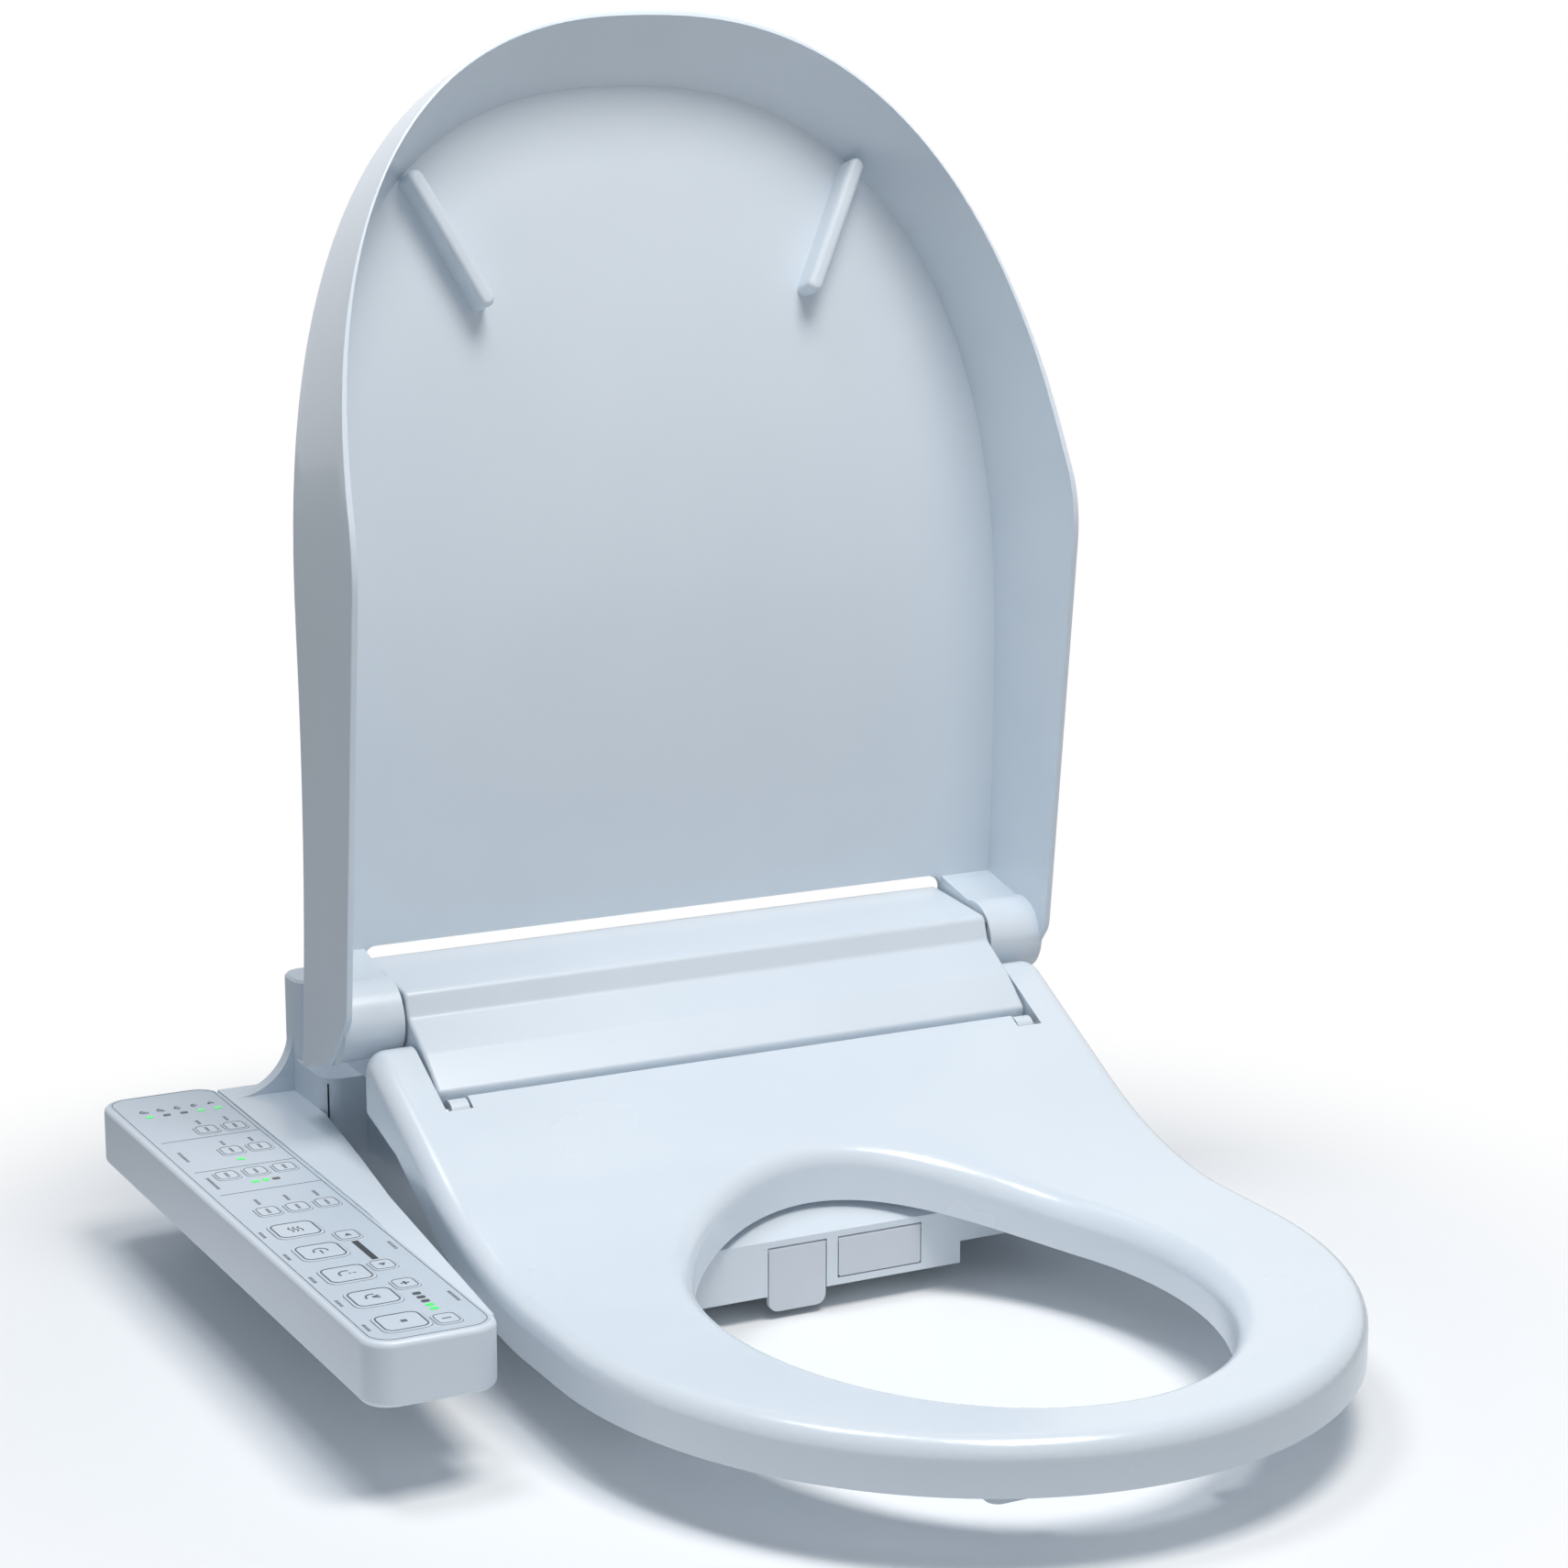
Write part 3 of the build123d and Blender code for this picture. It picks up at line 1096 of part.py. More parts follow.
def panel_base():
    """Lower tray of the control panel, with posts for its board."""
    low = PANEL_TOP_Z - PANEL_DEPTH
    split = PANEL_TOP_Z - PANEL_SPLIT
    tray = panel_plan(0, low, split)
    tray = fillet(tray.faces().sort_by(Axis.Z)[0].edges(), PANEL_EDGE_R)
    tray = tray - panel_plan(PANEL_SKIN, low + PANEL_SKIN, split)
    inset = PANEL_CORNER_R
    for x in (PANEL_LEFT_X + inset, PANEL_RIGHT_X - inset):
        for y in (PANEL_FRONT_Y + inset, PANEL_REAR_Y - inset):
            tray = tray + rod_z(x, y, SCREW_BOSS_R, low + PANEL_SKIN / 2, panel_board_z())
    return tray


def key_spots():
    """Name, centre and size of every key."""
    spots = {}
    for name, x in zip(("key_lock", "key_power"), SMALL_X[1:]):
        spots[name] = (x, ROW_Y[0], KEY_SMALL)
    for name, x in zip(("key_timer", "key_saver"), SMALL_X[1:]):
        spots[name] = (x, ROW_Y[1], KEY_SMALL)
    for name, x in zip(("key_air_heat", "key_seat_heat", "key_water_heat"), SMALL_X):
        spots[name] = (x, ROW_Y[2], KEY_SMALL)
    for name, x in zip(("key_sweep", "key_pulse", "key_rinse"), SMALL_X):
        spots[name] = (x, ROW_Y[3], KEY_SMALL)
    for index, name in enumerate(("key_dryer", "key_front", "key_soft", "key_rear", "key_stop")):
        spots[name] = (LARGE_X, LARGE_FIRST_Y - index * LARGE_PITCH, KEY_LARGE)
    for name, y in zip(("key_position_back", "key_position_front"), POSITION_Y):
        spots[name] = (SIDE_X, y, KEY_SMALL)
    for name, y in zip(("key_pressure_up", "key_pressure_down"), PRESSURE_Y):
        spots[name] = (SIDE_X, y, KEY_SMALL)
    return spots


def key_shape(spot, grow, z0, z1):
    """Rounded key outline at its place, grown by a margin."""
    x, y, (width, length, corner) = spot
    plan = RectangleRounded(width + 2 * grow, length + 2 * grow, corner + grow)
    return extrude(Pos(x, y, z0) * plan, z1 - z0)


def light_spots():
    """Places of the panel's indicator lights."""
    spots = [(LIGHT_FIRST_X + index * LIGHT_PITCH, LIGHT_ROW_Y) for index in range(5)]
    spots.append((SMALL_X[1], ROW_Y[1] - LIGHT_DROP))
    spots += [(SMALL_X[1] + index * LIGHT_STEP, ROW_Y[2] - LIGHT_DROP) for index in (-1, 0, 1)]
    middle = sum(PRESSURE_Y) / 2
    spots += [(SIDE_X, middle + index * LIGHT_STEP) for index in (-2, -1, 0, 1, 2)]
    return spots


def panel_top():
    """Upper cap of the control panel, with windows for the keys and lights."""
    split = PANEL_TOP_Z - PANEL_SPLIT
    cap = panel_plan(0, split, PANEL_TOP_Z)
    cap = fillet(cap.faces().sort_by(Axis.Z)[-1].edges(), PANEL_EDGE_R)
    cap = cap - panel_plan(PANEL_SKIN, split, PANEL_TOP_Z - PANEL_SKIN)
    for spot in key_spots().values():
        cap = cap - key_shape(spot, KEY_GAP, split, PANEL_TOP_Z + KEY_PROUD)
    for x, y in light_spots():
        cap = cap - rod_z(x, y, LED_R + RUN_FIT, split, PANEL_TOP_Z + KEY_PROUD)
    return cap


def panel_board():
    """Circuit board under the keys."""
    low = panel_board_z()
    return panel_plan(PANEL_SKIN + FIT, low, low + BOARD)


def panel_lights():
    """Light pipes from the board to the panel's face."""
    return [rod_z(x, y, LED_R, panel_board_z() + BOARD, PANEL_TOP_Z) for x, y in light_spots()]


def panel_key(spot):
    """One push key, proud of the panel and just clear of the board below."""
    low = panel_board_z() + BOARD + KEY_TRAVEL + RUN_FIT
    key = key_shape(spot, 0, low, PANEL_TOP_Z + KEY_PROUD)
    return fillet(key.faces().sort_by(Axis.Z)[-1].edges(), KEY_PROUD)


if __name__ == "__main__":
    os.makedirs("parts", exist_ok=True)
    pieces = {
        "mounting_plate": mounting_plate,
        "base_case": base_case,
        "top_cover": top_cover,
        "base_screws": base_screws,
        "hinge_brackets": hinge_brackets,
        "lid_hinge_pins": lid_hinge_pins,
        "seat_hinge_pins": seat_hinge_pins,
        "lid_damper": lid_damper,
        "water_tank": water_tank,
        "heater_element": heater_element,
        "water_inlet": water_inlet,
        "inlet_valve": inlet_valve,
        "flow_valve": flow_valve,
        "nozzle_guide": nozzle_guide,
        "nozzle_motor": nozzle_motor,
        "nozzle_tube": nozzle_tube,
        "nozzle_head": nozzle_head,
        "nozzle_shutter": nozzle_shutter,
        "dryer_flap": dryer_flap,
        "blower_housing": blower_housing,
        "blower_motor": blower_motor,
        "fan_wheel": fan_wheel,
        "dryer_duct": dryer_duct,
        "power_gland": power_gland,
        "control_arm": control_arm,
        "panel_base": panel_base,
        "panel_top": panel_top,
        "panel_board": panel_board,
        "panel_lights": panel_lights,
        "lid_shell": lid_shell,
        "lid_ribs": lid_ribs,
        "seat_top": seat_top,
        "seat_base": seat_base,
        "seat_heater": seat_heater,
        "seat_bumpers": seat_bumpers,
    }
    for name, make in pieces.items():
        save(name, make())
    save("main_board", circuit_board(MAIN_BOARD, MAIN_PARTS))
    save("power_board", circuit_board(POWER_BOARD, POWER_PARTS))
    for name, spot in key_spots().items():
        save(name, panel_key(spot))
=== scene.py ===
"""Looks for an electric bidet seat: moulded white plastics, a printed control panel and soft studio light."""

import json
import logging
import math
from dataclasses import dataclass, field
from enum import Enum
from typing import Any

import bpy
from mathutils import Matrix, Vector


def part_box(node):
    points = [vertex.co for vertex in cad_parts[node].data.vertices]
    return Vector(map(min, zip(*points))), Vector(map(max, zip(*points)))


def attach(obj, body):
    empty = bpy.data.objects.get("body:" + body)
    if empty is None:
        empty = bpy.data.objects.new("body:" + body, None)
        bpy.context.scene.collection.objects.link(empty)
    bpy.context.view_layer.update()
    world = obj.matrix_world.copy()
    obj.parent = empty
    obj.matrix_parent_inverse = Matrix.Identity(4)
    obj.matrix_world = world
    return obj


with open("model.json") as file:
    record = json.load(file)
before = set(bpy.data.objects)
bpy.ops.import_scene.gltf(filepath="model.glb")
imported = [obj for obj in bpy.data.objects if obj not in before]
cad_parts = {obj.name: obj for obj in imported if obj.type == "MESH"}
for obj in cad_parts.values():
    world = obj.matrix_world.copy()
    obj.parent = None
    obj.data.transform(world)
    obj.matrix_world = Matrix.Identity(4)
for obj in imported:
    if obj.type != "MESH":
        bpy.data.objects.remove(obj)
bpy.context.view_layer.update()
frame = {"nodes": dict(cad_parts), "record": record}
LOG = logging.getLogger("bidet_seat")
MM = 0.001
Point = tuple[float, float]


def linear(shade: str) -> tuple[float, float, float, float]:
    """Turn an sRGB hex shade into linear colour.

    Args:
        shade: Six hex digits.

    Returns:
        Linear red, green, blue and alpha.
    """
    parts = [int(shade[i:i + 2], 16) / 255 for i in (0, 2, 4)]
    red, green, blue = [p / 12.92 if p <= 0.04045 else ((p + 0.055) / 1.055) ** 2.4 for p in parts]
    return red, green, blue, 1.0


def add_node(
    tree: bpy.types.NodeTree, kind: str, settings: dict[str, Any], links: dict[str, Any]
) -> bpy.types.Node:
    """Add one node with its settings and incoming links.

    Args:
        tree: Node tree to add to.
        kind: Blender's name of the node type.
        settings: Input values by socket name, or attributes where no such socket exists.
        links: Output sockets to link, by input name or number.

    Returns:
        The new node.
    """
    node = tree.nodes.new(kind)
    for name, value in settings.items():
        if name in node.inputs:
            node.inputs[name].default_value = value
        else:
            setattr(node, name, value)
    for name, source in links.items():
        tree.links.new(source, node.inputs[name])
    return node


def blank_material(name: str) -> bpy.types.Material:
    """Make a material with an empty node tree.

    Args:
        name: The material's name.

    Returns:
        The new material.
    """
    material = bpy.data.materials.new(name)
    material.use_nodes = True
    material.node_tree.nodes.clear()
    return material


class Pattern(Enum):
    """How a finish varies over its surface."""

    MOULDED = "moulded"
    BRUSHED = "brushed"


@dataclass(frozen=True)
class Finish:
    """One surface finish.

    Attributes:
        name: What the finish is, in a maker's words.
        light: Lighter sRGB shade of its slow colour drift.
        dark: Darker sRGB shade of its slow colour drift.
        roughness: Middle roughness.
        ior: Refractive index.
        metallic: Share of bare metal.
        coat: Weight of the clear top gloss.
        drift_mm: Size of the colour drift.
        grain_mm: Size of the surface grain, drawn as coarse as it needs to show.
        grain: Strength of the grain's bump.
        pattern: How the surface was made.
    """

    name: str
    light: str
    dark: str
    roughness: float
    ior: float = 1.5
    metallic: float = 0.0
    coat: float = 0.0
    drift_mm: float = 70.0
    grain_mm: float = 1.6
    grain: float = 0.02
    pattern: Pattern = Pattern.MOULDED

    def material(self) -> bpy.types.Material:
        """Build the finish's node material.

        Returns:
            The new material.
        """
        material = blank_material(self.name)
        tree = material.node_tree
        place = add_node(tree, "ShaderNodeTexCoord", {}, {})
        stretch = (1.0, 1.0, 14.0) if self.pattern is Pattern.BRUSHED else (1.0, 1.0, 1.0)
        mapped = add_node(tree, "ShaderNodeMapping", {"Scale": stretch}, {"Vector": place.outputs["Object"]})
        drift = add_node(
            tree,
            "ShaderNodeTexNoise",
            {"Scale": 1 / (self.drift_mm * MM), "Detail": 3.0},
            {"Vector": mapped.outputs[0]},
        )
        grain = add_node(
            tree,
            "ShaderNodeTexNoise",
            {"Scale": 1 / (self.grain_mm * MM), "Detail": 2.0},
            {"Vector": mapped.outputs[0]},
        )
        shade = add_node(tree, "ShaderNodeMix", {"data_type": "RGBA"}, {"Factor": drift.outputs["Fac"]})
        shade.inputs[6].default_value = linear(self.dark)
        shade.inputs[7].default_value = linear(self.light)
        gloss = add_node(
            tree,
            "ShaderNodeMapRange",
            {"To Min": self.roughness * 0.85, "To Max": self.roughness * 1.15},
            {"Value": drift.outputs["Fac"]},
        )
        bump = add_node(
            tree, "ShaderNodeBump", {"Strength": self.grain, "Distance": MM}, {"Height": grain.outputs["Fac"]}
        )
        surface = add_node(
            tree,
            "ShaderNodeBsdfPrincipled",
            {"IOR": self.ior, "Metallic": self.metallic, "Coat Weight": self.coat, "Coat Roughness": 0.08},
            {"Base Color": shade.outputs[2], "Roughness": gloss.outputs[0], "Normal": bump.outputs[0]},
        )
        add_node(tree, "ShaderNodeOutputMaterial", {}, {"Surface": surface.outputs[0]})
        return material


@dataclass(frozen=True)
class Glow:
    """A small lit lens.

    Attributes:
        name: The lens's name.
        shade: sRGB shade of the lit plastic.
        strength: Strength of its own light.
    """

    name: str
    shade: str
    strength: float

    def material(self) -> bpy.types.Material:
        """Build the lens's node material.

        Returns:
            The new material.
        """
        material = blank_material(self.name)
        tree = material.node_tree
        place = add_node(tree, "ShaderNodeTexCoord", {}, {})
        haze = add_node(tree, "ShaderNodeTexNoise", {"Scale": 900.0}, {"Vector": place.outputs["Object"]})
        gloss = add_node(
            tree, "ShaderNodeMapRange", {"To Min": 0.2, "To Max": 0.35}, {"Value": haze.outputs["Fac"]}
        )
        surface = add_node(
            tree,
            "ShaderNodeBsdfPrincipled",
            {
                "Base Color": linear(self.shade),
                "Emission Color": linear(self.shade),
                "Emission Strength": self.strength,
            },
            {"Roughness": gloss.outputs[0]},
        )
        add_node(tree, "ShaderNodeOutputMaterial", {}, {"Surface": surface.outputs[0]})
        return material


# Gloss ABS, injection moulded: a clean white with a soft sheen and a hardly seen flow of tone.
GLOSS_ABS = Finish("moulded_gloss_abs", "DFE7EE", "D9E2EA", 0.3, 1.53, coat=0.25)
# The same ABS on the seat, polished a little more by use.
SEAT_ABS = Finish("polished_seat_abs", "DFE7EE", "D9E2EA", 0.26, 1.53, coat=0.3)
# Satin ABS on the casing and the panel: a finer spark texture that spreads the light.
CASE_ABS = Finish("satin_case_abs", "DDE5EC", "D6DFE7", 0.36, 1.53, coat=0.12, grain=0.035)
# Satin finish on the panel's upward faces only: a darker, cooler grey than the casing around it; no separate film
# is modelled.
PANEL_TOP_GREY = Finish("panel_top_grey", "C8D2DB", "C1CBD5", 0.42, 1.5, grain=0.03)
# Soft-touch key tops: the same white, a touch greyer and flatter.
KEY_PLASTIC = Finish("key_top_plastic", "D0D9E1", "C9D2DB", 0.42, 1.5, grain=0.03)
INNER_PLASTIC = Finish("inner_polypropylene", "D8DDE3", "CDD3DA", 0.45, 1.49, grain=0.04)
NOZZLE_PLASTIC = Finish("nozzle_acetal", "E6EAEE", "DEE3E8", 0.3, 1.48)
RUBBER = Finish("moulded_silicone", "DDE3EA", "D2D9E1", 0.62, 1.41, grain=0.06, grain_mm=0.9)
STEEL = Finish(
    "turned_steel", "B9BDC2", "A4A8AE", 0.32, 1.5, metallic=1.0, pattern=Pattern.BRUSHED, grain_mm=0.8
)
BRASS = Finish(
    "turned_brass", "C8A964", "B4934F", 0.3, 1.5, metallic=1.0, pattern=Pattern.BRUSHED, grain_mm=0.8
)
BOARD = Finish("solder_mask_board", "1E5A38", "184A2E", 0.4, 1.55, drift_mm=12.0)
FOIL = Finish("heater_foil", "C2C5C9", "ADB1B6", 0.35, 1.5, metallic=1.0)
LENS = Finish("smoked_lens", "4A5158", "3C4248", 0.3, 1.49)
INK = Finish("screen_print_ink", "5A636D", "4F5862", 0.55, 1.5, drift_mm=9.0)
DARK_INK = Finish("black_print_ink", "2E343A", "272C31", 0.5, 1.5, drift_mm=9.0)
GREEN_LIGHT = Glow("lit_green_lens", "3BD65C", 0.55)

SLOT_FINISH = {
    "lid_plastic": GLOSS_ABS,
    "seat_plastic": SEAT_ABS,
    "case_plastic": CASE_ABS,
    "key_plastic": KEY_PLASTIC,
    "inner_plastic": INNER_PLASTIC,
    "nozzle_plastic": NOZZLE_PLASTIC,
    "bumper_rubber": RUBBER,
    "steel": STEEL,
    "brass": BRASS,
    "board": BOARD,
    "foil": FOIL,
    "light_lens": LENS,
}


@dataclass
class Paintbox:
    """Materials made once and shared.

    Attributes:
        made: Materials by finish name.
    """

    made: dict[str, bpy.types.Material] = field(default_factory=dict)

    def get(self, finish: Finish | Glow) -> bpy.types.Material:
        """Give a finish's material, building it the first time.

        Args:
            finish: The finish wanted.

        Returns:
            Its material.
        """
        if finish.name not in self.made:
            self.made[finish.name] = finish.material()
        return self.made[finish.name]


@dataclass
class CastShells:
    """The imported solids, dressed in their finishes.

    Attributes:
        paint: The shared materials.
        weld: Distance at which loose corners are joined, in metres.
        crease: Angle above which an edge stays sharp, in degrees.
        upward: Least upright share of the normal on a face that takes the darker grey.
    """

    paint: Paintbox
    weld: float = 2e-6
    crease: float = 32.0
    upward: float = 0.95

    def dress(self) -> None:
        """Give every solid its material and smooth shading."""
        slots = {row["node"]: row["material_slot"] for row in frame["record"]["subparts"]}
        for name, node in frame["nodes"].items():
            node.data.materials.clear()
            node.data.materials.append(self.paint.get(SLOT_FINISH[slots[name]]))
            node.data.polygons.foreach_set("use_smooth", [True] * len(node.data.polygons))
            weld = node.modifiers.new("joined_corners", "WELD")
            weld.merge_threshold = self.weld
            split = node.modifiers.new("sharp_edges", "EDGE_SPLIT")
            split.split_angle = math.radians(self.crease)
            LOG.info("dressed %s", name)
        self.grey_top(frame["nodes"]["panel_top"])

    def grey_top(self, panel: bpy.types.Object) -> None:
        """Lay the darker, cooler grey on the panel's upward faces, as a colour on those faces, not a separate
        film.

        Args:
            panel: The panel's upper cap.
        """
        panel.data.materials.append(self.paint.get(PANEL_TOP_GREY))
        for face in panel.data.polygons:
            if face.normal.z > self.upward:
                face.material_index = 1


def deselect() -> None:
    """Clear the selection, so that the next operator acts on the new piece only."""
    bpy.ops.object.select_all(action="DESELECT")


def apply_modifier(piece: bpy.types.Object, kind: str, **settings: Any) -> None:
    """Add a modifier to a piece and apply it.

    Args:
        piece: The piece, already active.
        kind: Blender's modifier type.
        settings: The modifier's settings.
    """
    modifier = piece.modifiers.new(kind.lower(), kind)
    for name, value in settings.items():
        setattr(modifier, name, value)
    bpy.ops.object.modifier_apply(modifier=modifier.name)


def rounded_plate(name: str, centre: Point, size: Point, corner: float, z: float, rim: float = 0.0,
                  height: float = 0.12) -> bpy.types.Object:
    """Model a thin rounded plate, or only its rim.

    Args:
        name: The piece's name.
        centre: Plan centre in millimetres.
        size: Plan width and length in millimetres.
        corner: Corner radius in millimetres.
        z: Height of its underside in millimetres.
        rim: Width of the rim to keep, or 0 for a full plate.
        height: Thickness in millimetres.

    Returns:
        The new piece.
    """
    deselect()
    bpy.ops.mesh.primitive_plane_add(size=MM, location=(centre[0] * MM, centre[1] * MM, z * MM))
    piece = bpy.context.active_object
    piece.name = name
    piece.scale = (size[0], size[1], 1.0)
    bpy.ops.object.transform_apply(location=True, rotation=True, scale=True)
    bpy.ops.object.mode_set(mode="EDIT")
    bpy.ops.mesh.select_all(action="SELECT")
    bpy.ops.mesh.bevel(offset=corner * MM, segments=6, affect="VERTICES")
    if rim:
        bpy.ops.mesh.select_all(action="SELECT")
        bpy.ops.mesh.inset(thickness=rim * MM)
        bpy.ops.mesh.delete(type="FACE")
    bpy.ops.object.mode_set(mode="OBJECT")
    apply_modifier(piece, "SOLIDIFY", thickness=height * MM, offset=1.0)
    return piece


@dataclass(frozen=True)
class Stroke:
    """One printed line.

    Attributes:
        points: Its centre line in millimetres.
        start: Width at its start.
        end: Width at its end.
    """

    points: tuple[Point, ...]
    start: float = 0.6
    end: float = 0.6

    def model(self, name: str, centre: Point, z: float, height: float = 0.12) -> bpy.types.Object:
        """Model the line as a thin raised ribbon.

        Args:
            name: The piece's name.
            centre: Plan place of the line's own origin.
            z: Height of its underside in millimetres.
            height: Thickness in millimetres.

        Returns:
            The new piece.
        """
        count = len(self.points)
        deselect()
        bpy.ops.mesh.primitive_grid_add(x_subdivisions=count - 1, y_subdivisions=1, size=MM)
        piece = bpy.context.active_object
        piece.name = name
        for index, (x, y) in enumerate(self.points):
            before = Vector(self.points[max(index - 1, 0)])
            after = Vector(self.points[min(index + 1, count - 1)])
            along = (after - before).normalized()
            half = (self.start + (self.end - self.start) * index / (count - 1)) / 2
            for side, row in ((-1, 0), (1, 1)):
                spot = (
                    (centre[0] + x - side * along.y * half) * MM,
                    (centre[1] + y + side * along.x * half) * MM,
                    z * MM,
                )
                piece.data.vertices[row * count + index].co = spot
        apply_modifier(piece, "SOLIDIFY", thickness=height * MM, offset=1.0)
        return piece


def arc(
    radius: float, start: float, sweep: float, centre: Point = (0.0, 0.0), steps: int = 8
) -> tuple[Point, ...]:
    """Points on an arc.

    Args:
        radius: Radius in millimetres.
        start: Start angle in degrees.
        sweep: Angle swept in degrees.
        centre: The arc's centre.
        steps: Number of runs.

    Returns:
        The arc's points.
    """
    turns = [math.radians(start + sweep * i / steps) for i in range(steps + 1)]
    return tuple((centre[0] + radius * math.cos(t), centre[1] + radius * math.sin(t)) for t in turns)


def wave(x: float, length: float, swing: float, steps: int = 10) -> tuple[Point, ...]:
    """Points on an upright S-shaped wave.

    Args:
        x: The wave's middle line.
        length: Its length.
        swing: How far it swings to each side.
        steps: Number of runs.

    Returns:
        The wave's points.
    """
    return tuple(
        (x + swing * math.sin(2 * math.pi * i / steps), length * (i / steps - 0.5)) for i in range(steps + 1)
    )


def greeked(length: float, size: float = 1.5) -> list[Stroke]:
    """A row of small upright ticks that stands for a label.

    Args:
        length: Length of the row along Y.
        size: Width of the row along X.

    Returns:
        The row's strokes.
    """
    count = max(2, round(length / 1.7))
    pitch = length / count
    return [
        Stroke(((-size / 2, (i - count / 2 + 0.5) * pitch), (size / 2, (i - count / 2 + 0.5) * pitch)), 0.9, 0.9)
        for i in range(count)
    ]


class Symbol(Enum):
    """Generic symbols on the keys."""

    WAVES = "waves"
    FAN_SPRAY = "fan_spray"
    SOFT_SPRAY = "soft_spray"
    JET_SPRAY = "jet_spray"
    STOP = "stop"
    BACK = "back"
    FORWARD = "forward"
    PLUS = "plus"
    MINUS = "minus"
    BAR = "bar"

    def strokes(self) -> list[Stroke]:
        """The symbol's lines, in millimetres about the key's centre.

        Returns:
            The strokes to print.
        """
        table = {
            Symbol.WAVES: [Stroke(wave(x, 6.4, 0.7), 0.75, 0.75) for x in (-2.2, 0.0, 2.2)],
            Symbol.FAN_SPRAY: [
                Stroke(((0.0, -3.4), (0.0, 1.0)), 0.8, 0.8),
                Stroke(arc(3.2, 200, -110, (0.0, 0.2)), 0.75, 0.75),
                Stroke(arc(3.2, -20, 110, (0.0, 0.2)), 0.75, 0.75),
            ],
            Symbol.SOFT_SPRAY: [
                Stroke(arc(3.4, 60, 150), 0.9, 0.9),
                Stroke(((0.8, -0.2), (2.0, -0.2)), 0.7, 0.7),
                Stroke(((2.8, -0.2), (4.2, -0.2)), 0.7, 0.7),
            ],
            Symbol.JET_SPRAY: [
                Stroke(arc(3.4, 70, 130), 0.9, 0.9),
                Stroke(((-0.6, 0.0), (2.6, 1.6)), 0.7, 0.7),
                Stroke(((-0.6, 0.0), (2.8, -0.2)), 0.7, 0.7),
                Stroke(((-0.6, 0.0), (2.4, -2.0)), 0.7, 0.7),
            ],
            Symbol.STOP: [Stroke(((1.0, -1.3), (1.0, 1.3)), 2.8, 2.8)],
            Symbol.BACK: [Stroke(((0.0, -1.5), (0.0, 1.7)), 3.4, 0.05)],
            Symbol.FORWARD: [Stroke(((0.0, 1.5), (0.0, -1.7)), 3.4, 0.05)],
            Symbol.PLUS: [
                Stroke(((-2.0, 0.0), (2.0, 0.0)), 0.9, 0.9),
                Stroke(((0.0, -2.0), (0.0, 2.0)), 0.9, 0.9),
            ],
            Symbol.MINUS: [Stroke(((-2.0, 0.0), (2.0, 0.0)), 0.9, 0.9)],
            Symbol.BAR: greeked(6.5),
        }
        return table[self]


KEY_SYMBOL = {
    "key_dryer": Symbol.WAVES,
    "key_front": Symbol.FAN_SPRAY,
    "key_soft": Symbol.SOFT_SPRAY,
    "key_rear": Symbol.JET_SPRAY,
    "key_stop": Symbol.STOP,
    "key_position_back": Symbol.BACK,
    "key_position_front": Symbol.FORWARD,
    "key_pressure_up": Symbol.PLUS,
    "key_pressure_down": Symbol.MINUS,
}


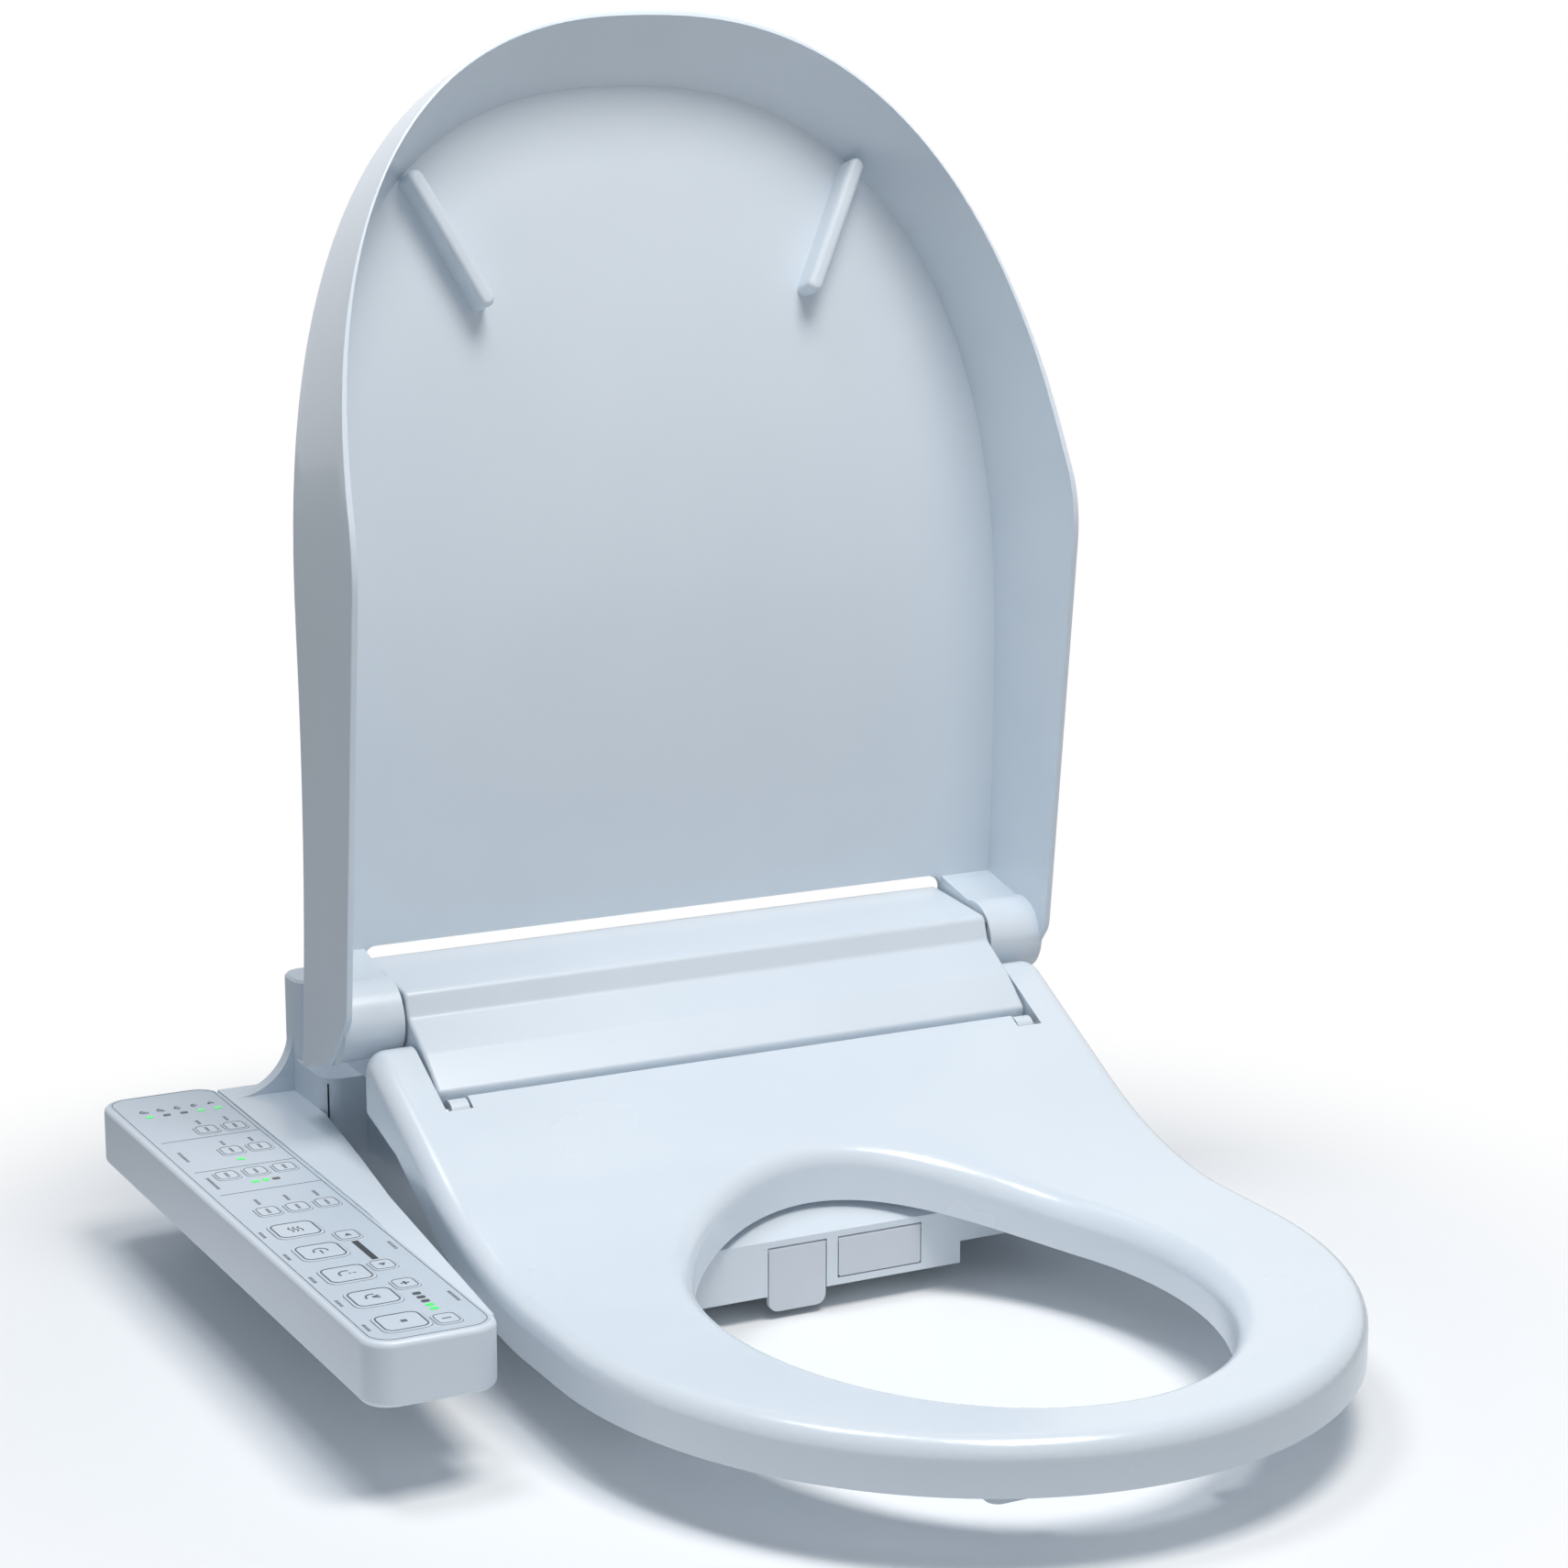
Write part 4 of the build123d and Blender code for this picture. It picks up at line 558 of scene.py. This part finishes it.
@dataclass
class ControlPanel:
    """The printed control panel: outlines, symbols, dividers, labels and lights.

    Attributes:
        paint: The shared materials.
        face_z: Height of the panel's face in millimetres.
        sink: How far a print is let into the surface below it.
        large_from: Width above which a key is a large one.
        dividers: Middle Y of each printed divider.
        divider_x: Ends of a divider.
        lit: Places of the lit lenses.
        unlit: Places of the dark lenses.
    """

    paint: Paintbox
    face_z: float = 54.0
    sink: float = 0.03
    large_from: float = 18.0
    dividers: tuple[float, ...] = (2.8, -46.7, -83.0)
    divider_x: Point = (-265.6, -217.0)
    lit: tuple[Point, ...] = (
        (-258.0, 45.0), (-231.9, 45.0), (-223.2, 45.0), (-239.5, -36.5), (-244.5, -71.0), (-239.5, -71.0),
        (-233.0, -257.5), (-233.0, -262.5),
    )
    unlit: tuple[Point, ...] = (
        (-249.3, 45.0), (-240.6, 45.0), (-234.5, -71.0), (-233.0, -242.5), (-233.0, -247.5), (-233.0, -252.5),
    )

    def join(
        self, pieces: list[bpy.types.Object], name: str, finish: Finish | Glow, body: str, slot: str
    ) -> None:
        """Join pieces into one, dress it and let it ride on a body.

        Args:
            pieces: The pieces to join.
            name: Name of the joined piece.
            finish: Its finish.
            body: The body it rides on.
            slot: The record's slot nearest to its finish; not used.
        """
        deselect()
        for piece in pieces:
            piece.select_set(True)
        bpy.context.view_layer.objects.active = pieces[0]
        if len(pieces) > 1:
            bpy.ops.object.join()
        joined = bpy.context.active_object
        bpy.ops.object.transform_apply(location=True, rotation=True, scale=True)
        joined.name = name
        joined.data.materials.clear()
        joined.data.materials.append(self.paint.get(finish))
        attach(joined, body)
        LOG.info("made %s", name)

    def print_key(self, name: str) -> None:
        """Print a key's outline and its symbol.

        Args:
            name: The key's node and body.
        """
        low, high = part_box(name)
        centre = ((low.x + high.x) / 2 / MM, (low.y + high.y) / 2 / MM)
        size = ((high.x - low.x) / MM, (high.y - low.y) / MM)
        z = high.z / MM - self.sink
        large = size[0] > self.large_from
        inset = 1.1 if large else 0.8
        corner = 4.0 if large else 2.6
        rim = 0.75 if large else 0.45
        outline = rounded_plate(
            "outline", centre, (size[0] - 2 * inset, size[1] - 2 * inset), corner, z, rim
        )
        symbol = KEY_SYMBOL.get(name, Symbol.BAR)
        parts = [outline]
        for stroke in symbol.strokes():
            parts.append(stroke.model("stroke", centre, z))
        self.join(parts, name + "_print", INK, name, "key_plastic")

    def print_face(self) -> None:
        """Print the dividers, labels and the face's border line."""
        z = self.face_z - self.sink
        parts = []
        for y in self.dividers:
            line = Stroke(((self.divider_x[0], y), (self.divider_x[1], y)), 0.4, 0.4)
            parts.append(line.model("divider", (0.0, 0.0), z))
        low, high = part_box("panel_top")
        centre = ((low.x + high.x) / 2 / MM, (low.y + high.y) / 2 / MM)
        size = ((high.x - low.x) / MM - 7.0, (high.y - low.y) / MM - 7.0)
        parts.append(rounded_plate("border", centre, size, 10.0, z, 0.35))
        labels = [(-266.5, y, 8.5) for y in (-143.0, -175.0, -207.0, -239.0, -271.0)]
        labels += [(-220.0, -181.0, 11.0), (-220.0, -252.0, 13.0), (-263.0, -22.0, 16.0), (-263.0, -65.0, 18.0)]
        labels += [(x, y, 7.0) for x in (-239.5, -225.5) for y in (27.0, -9.5)]
        labels += [(x, -99.0, 8.0) for x in (-253.5, -239.5, -225.5)]
        for x, y, length in labels:
            for stroke in greeked(length):
                parts.append(stroke.model("label", (x, y), z))
        self.join(parts, "panel_print", INK, "base", "case_plastic")

    def print_marks(self) -> None:
        """Print the darker marks: the icon row and the bar between the position keys."""
        z = self.face_z - self.sink
        parts = [Stroke(((-233.0, -168.5), (-233.0, -194.5)), 3.0, 3.0).model("travel", (0.0, 0.0), z)]
        for index in range(5):
            x = -258.0 + 8.7 * index
            parts.append(Stroke(arc(2.0, 90, 250 - 30 * index), 0.8, 0.8).model("icon", (x, 54.0), z))
            parts.append(Stroke(((-0.8, 0.0), (0.8, 0.0)), 0.8, 0.8).model("icon", (x, 54.0), z))
        self.join(parts, "panel_marks", DARK_INK, "base", "case_plastic")

    def lights(self) -> None:
        """Set the small lenses over the light pipes."""
        for name, spots, finish in (("lights_on", self.lit, GREEN_LIGHT), ("lights_off", self.unlit, LENS)):
            lenses = [
                rounded_plate("lens", spot, (3.6, 2.6), 0.7, self.face_z - self.sink, height=0.3) for spot in spots
            ]
            self.join(lenses, name, finish, "base", "light_lens")

    def build(self) -> None:
        """Build the whole panel's print and lights."""
        for name in sorted(frame["nodes"]):
            if name.startswith("key_"):
                self.print_key(name)
        self.print_face()
        self.print_marks()
        self.lights()


@dataclass
class Studio:
    """Floor, light and camera.

    Attributes:
        floor_z: Height of the floor in metres.
        floor_half: Half the floor's side in metres.
        far_floor: Light that the white far part of the floor throws on the object.
        fade_about: Plan place that the floor's fade is drawn about, in metres.
        fade: Distances at which the floor starts and ends its fade to white.
        camera_at: The camera's place.
        camera_turn: Its turn in degrees.
        lens_mm: Its focal length.
    """

    floor_z: float = -0.019
    floor_half: float = 6.0
    far_floor: float = 0.35
    fade_about: Point = (-0.05, -0.17)
    fade: Point = (0.27, 0.56)
    camera_at: tuple[float, float, float] = (-0.772, -1.631, 0.603)
    camera_turn: tuple[float, float, float] = (77.5, 0.0, -27.2)
    lens_mm: float = 85.0

    def floor(self) -> None:
        """Make the pale floor, which fades to plain white away from the object."""
        deselect()
        bpy.ops.mesh.primitive_plane_add(size=2 * self.floor_half, location=(0, 0, self.floor_z))
        floor = bpy.context.active_object
        floor.name = "studio_floor"
        material = blank_material("pale_floor")
        tree = material.node_tree
        place = add_node(tree, "ShaderNodeTexCoord", {}, {})
        spot = add_node(
            tree,
            "ShaderNodeMapping",
            {"Location": (-self.fade_about[0], -self.fade_about[1], 0.0)},
            {"Vector": place.outputs["Object"]},
        )
        far = add_node(tree, "ShaderNodeVectorMath", {"operation": "LENGTH"}, {0: spot.outputs[0]})
        fade = add_node(
            tree,
            "ShaderNodeMapRange",
            {"From Min": self.fade[0], "From Max": self.fade[1], "interpolation_type": "SMOOTHSTEP"},
            {"Value": far.outputs["Value"]},
        )
        matt = add_node(tree, "ShaderNodeBsdfDiffuse", {"Color": linear("F6F7F8")}, {})
        path = add_node(tree, "ShaderNodeLightPath", {}, {})
        seen = add_node(
            tree,
            "ShaderNodeMapRange",
            {"To Min": self.far_floor, "To Max": 1.0},
            {"Value": path.outputs["Is Camera Ray"]},
        )
        white = add_node(tree, "ShaderNodeEmission", {}, {"Strength": seen.outputs[0]})
        mixed = add_node(
            tree, "ShaderNodeMixShader", {}, {0: fade.outputs[0], 1: matt.outputs[0], 2: white.outputs[0]}
        )
        add_node(tree, "ShaderNodeOutputMaterial", {}, {"Surface": mixed.outputs[0]})
        floor.data.materials.append(material)

    def lamp(self, name: str, place: tuple[float, float, float], aim: tuple[float, float, float], size: float,
             watts: float, shade: str) -> None:
        """Hang one soft square lamp.

        Args:
            name: The lamp's name.
            place: Where it hangs, in metres.
            aim: What it points at.
            size: Side of its face in metres.
            watts: Its power.
            shade: sRGB shade of its light.
        """
        data = bpy.data.lights.new(name, "AREA")
        data.size = size
        data.energy = watts
        data.color = linear(shade)[:3]
        lamp = bpy.data.objects.new(name, data)
        lamp.location = place
        lamp.rotation_euler = (Vector(aim) - Vector(place)).to_track_quat("-Z", "Y").to_euler()
        bpy.context.scene.collection.objects.link(lamp)

    def sky(self) -> None:
        """Light the world softly, and show it as white."""
        world = bpy.data.worlds.new("studio_world")
        bpy.context.scene.world = world
        world.use_nodes = True
        tree = world.node_tree
        tree.nodes.clear()
        path = add_node(tree, "ShaderNodeLightPath", {}, {})
        mirror = add_node(
            tree,
            "ShaderNodeMath",
            {"operation": "MAXIMUM"},
            {0: path.outputs["Is Glossy Ray"], 1: path.outputs["Is Transmission Ray"]},
        )
        seen = add_node(
            tree,
            "ShaderNodeMath",
            {"operation": "MAXIMUM"},
            {0: path.outputs["Is Camera Ray"], 1: mirror.outputs[0]},
        )
        soft = add_node(tree, "ShaderNodeBackground", {"Color": linear("C2D2E4"), "Strength": 0.36}, {})
        white = add_node(tree, "ShaderNodeBackground", {"Color": (1, 1, 1, 1), "Strength": 1.0}, {})
        mixed = add_node(
            tree, "ShaderNodeMixShader", {}, {0: seen.outputs[0], 1: soft.outputs[0], 2: white.outputs[0]}
        )
        add_node(tree, "ShaderNodeOutputWorld", {}, {"Surface": mixed.outputs[0]})

    def camera(self) -> None:
        """Set the camera at the photograph's viewing angle."""
        data = bpy.data.cameras.new("studio_camera")
        data.lens = self.lens_mm
        data.sensor_width = 36.0
        camera = bpy.data.objects.new("studio_camera", data)
        camera.location = self.camera_at
        camera.rotation_euler = [math.radians(turn) for turn in self.camera_turn]
        bpy.context.scene.collection.objects.link(camera)
        bpy.context.scene.camera = camera

    def build(self) -> None:
        """Build the floor, the lamps, the world and the camera."""
        self.floor()
        self.lamp("top_softbox", (0.1, -0.8, 2.05), (0.0, -0.15, 0.0), 0.8, 27.0, "FFFCF8")
        self.lamp("side_softbox", (-0.5, 0.05, 2.1), (-0.1, -0.05, 0.0), 0.6, 11.0, "F6FAFF")
        self.lamp("front_softbox", (-0.6, -2.4, 1.6), (0.0, 0.0, 0.3), 1.2, 3.0, "FFFFFF")
        self.sky()
        self.camera()
        bpy.context.scene.view_settings.view_transform = "Standard"
        bpy.context.scene.cycles.caustics_reflective = False
        bpy.context.scene.cycles.caustics_refractive = False


def main() -> None:
    """Build the looks in order."""
    logging.basicConfig(level=logging.INFO)
    paint = Paintbox()
    CastShells(paint).dress()
    ControlPanel(paint).build()
    Studio().build()


if __name__ == "__main__":
    main()
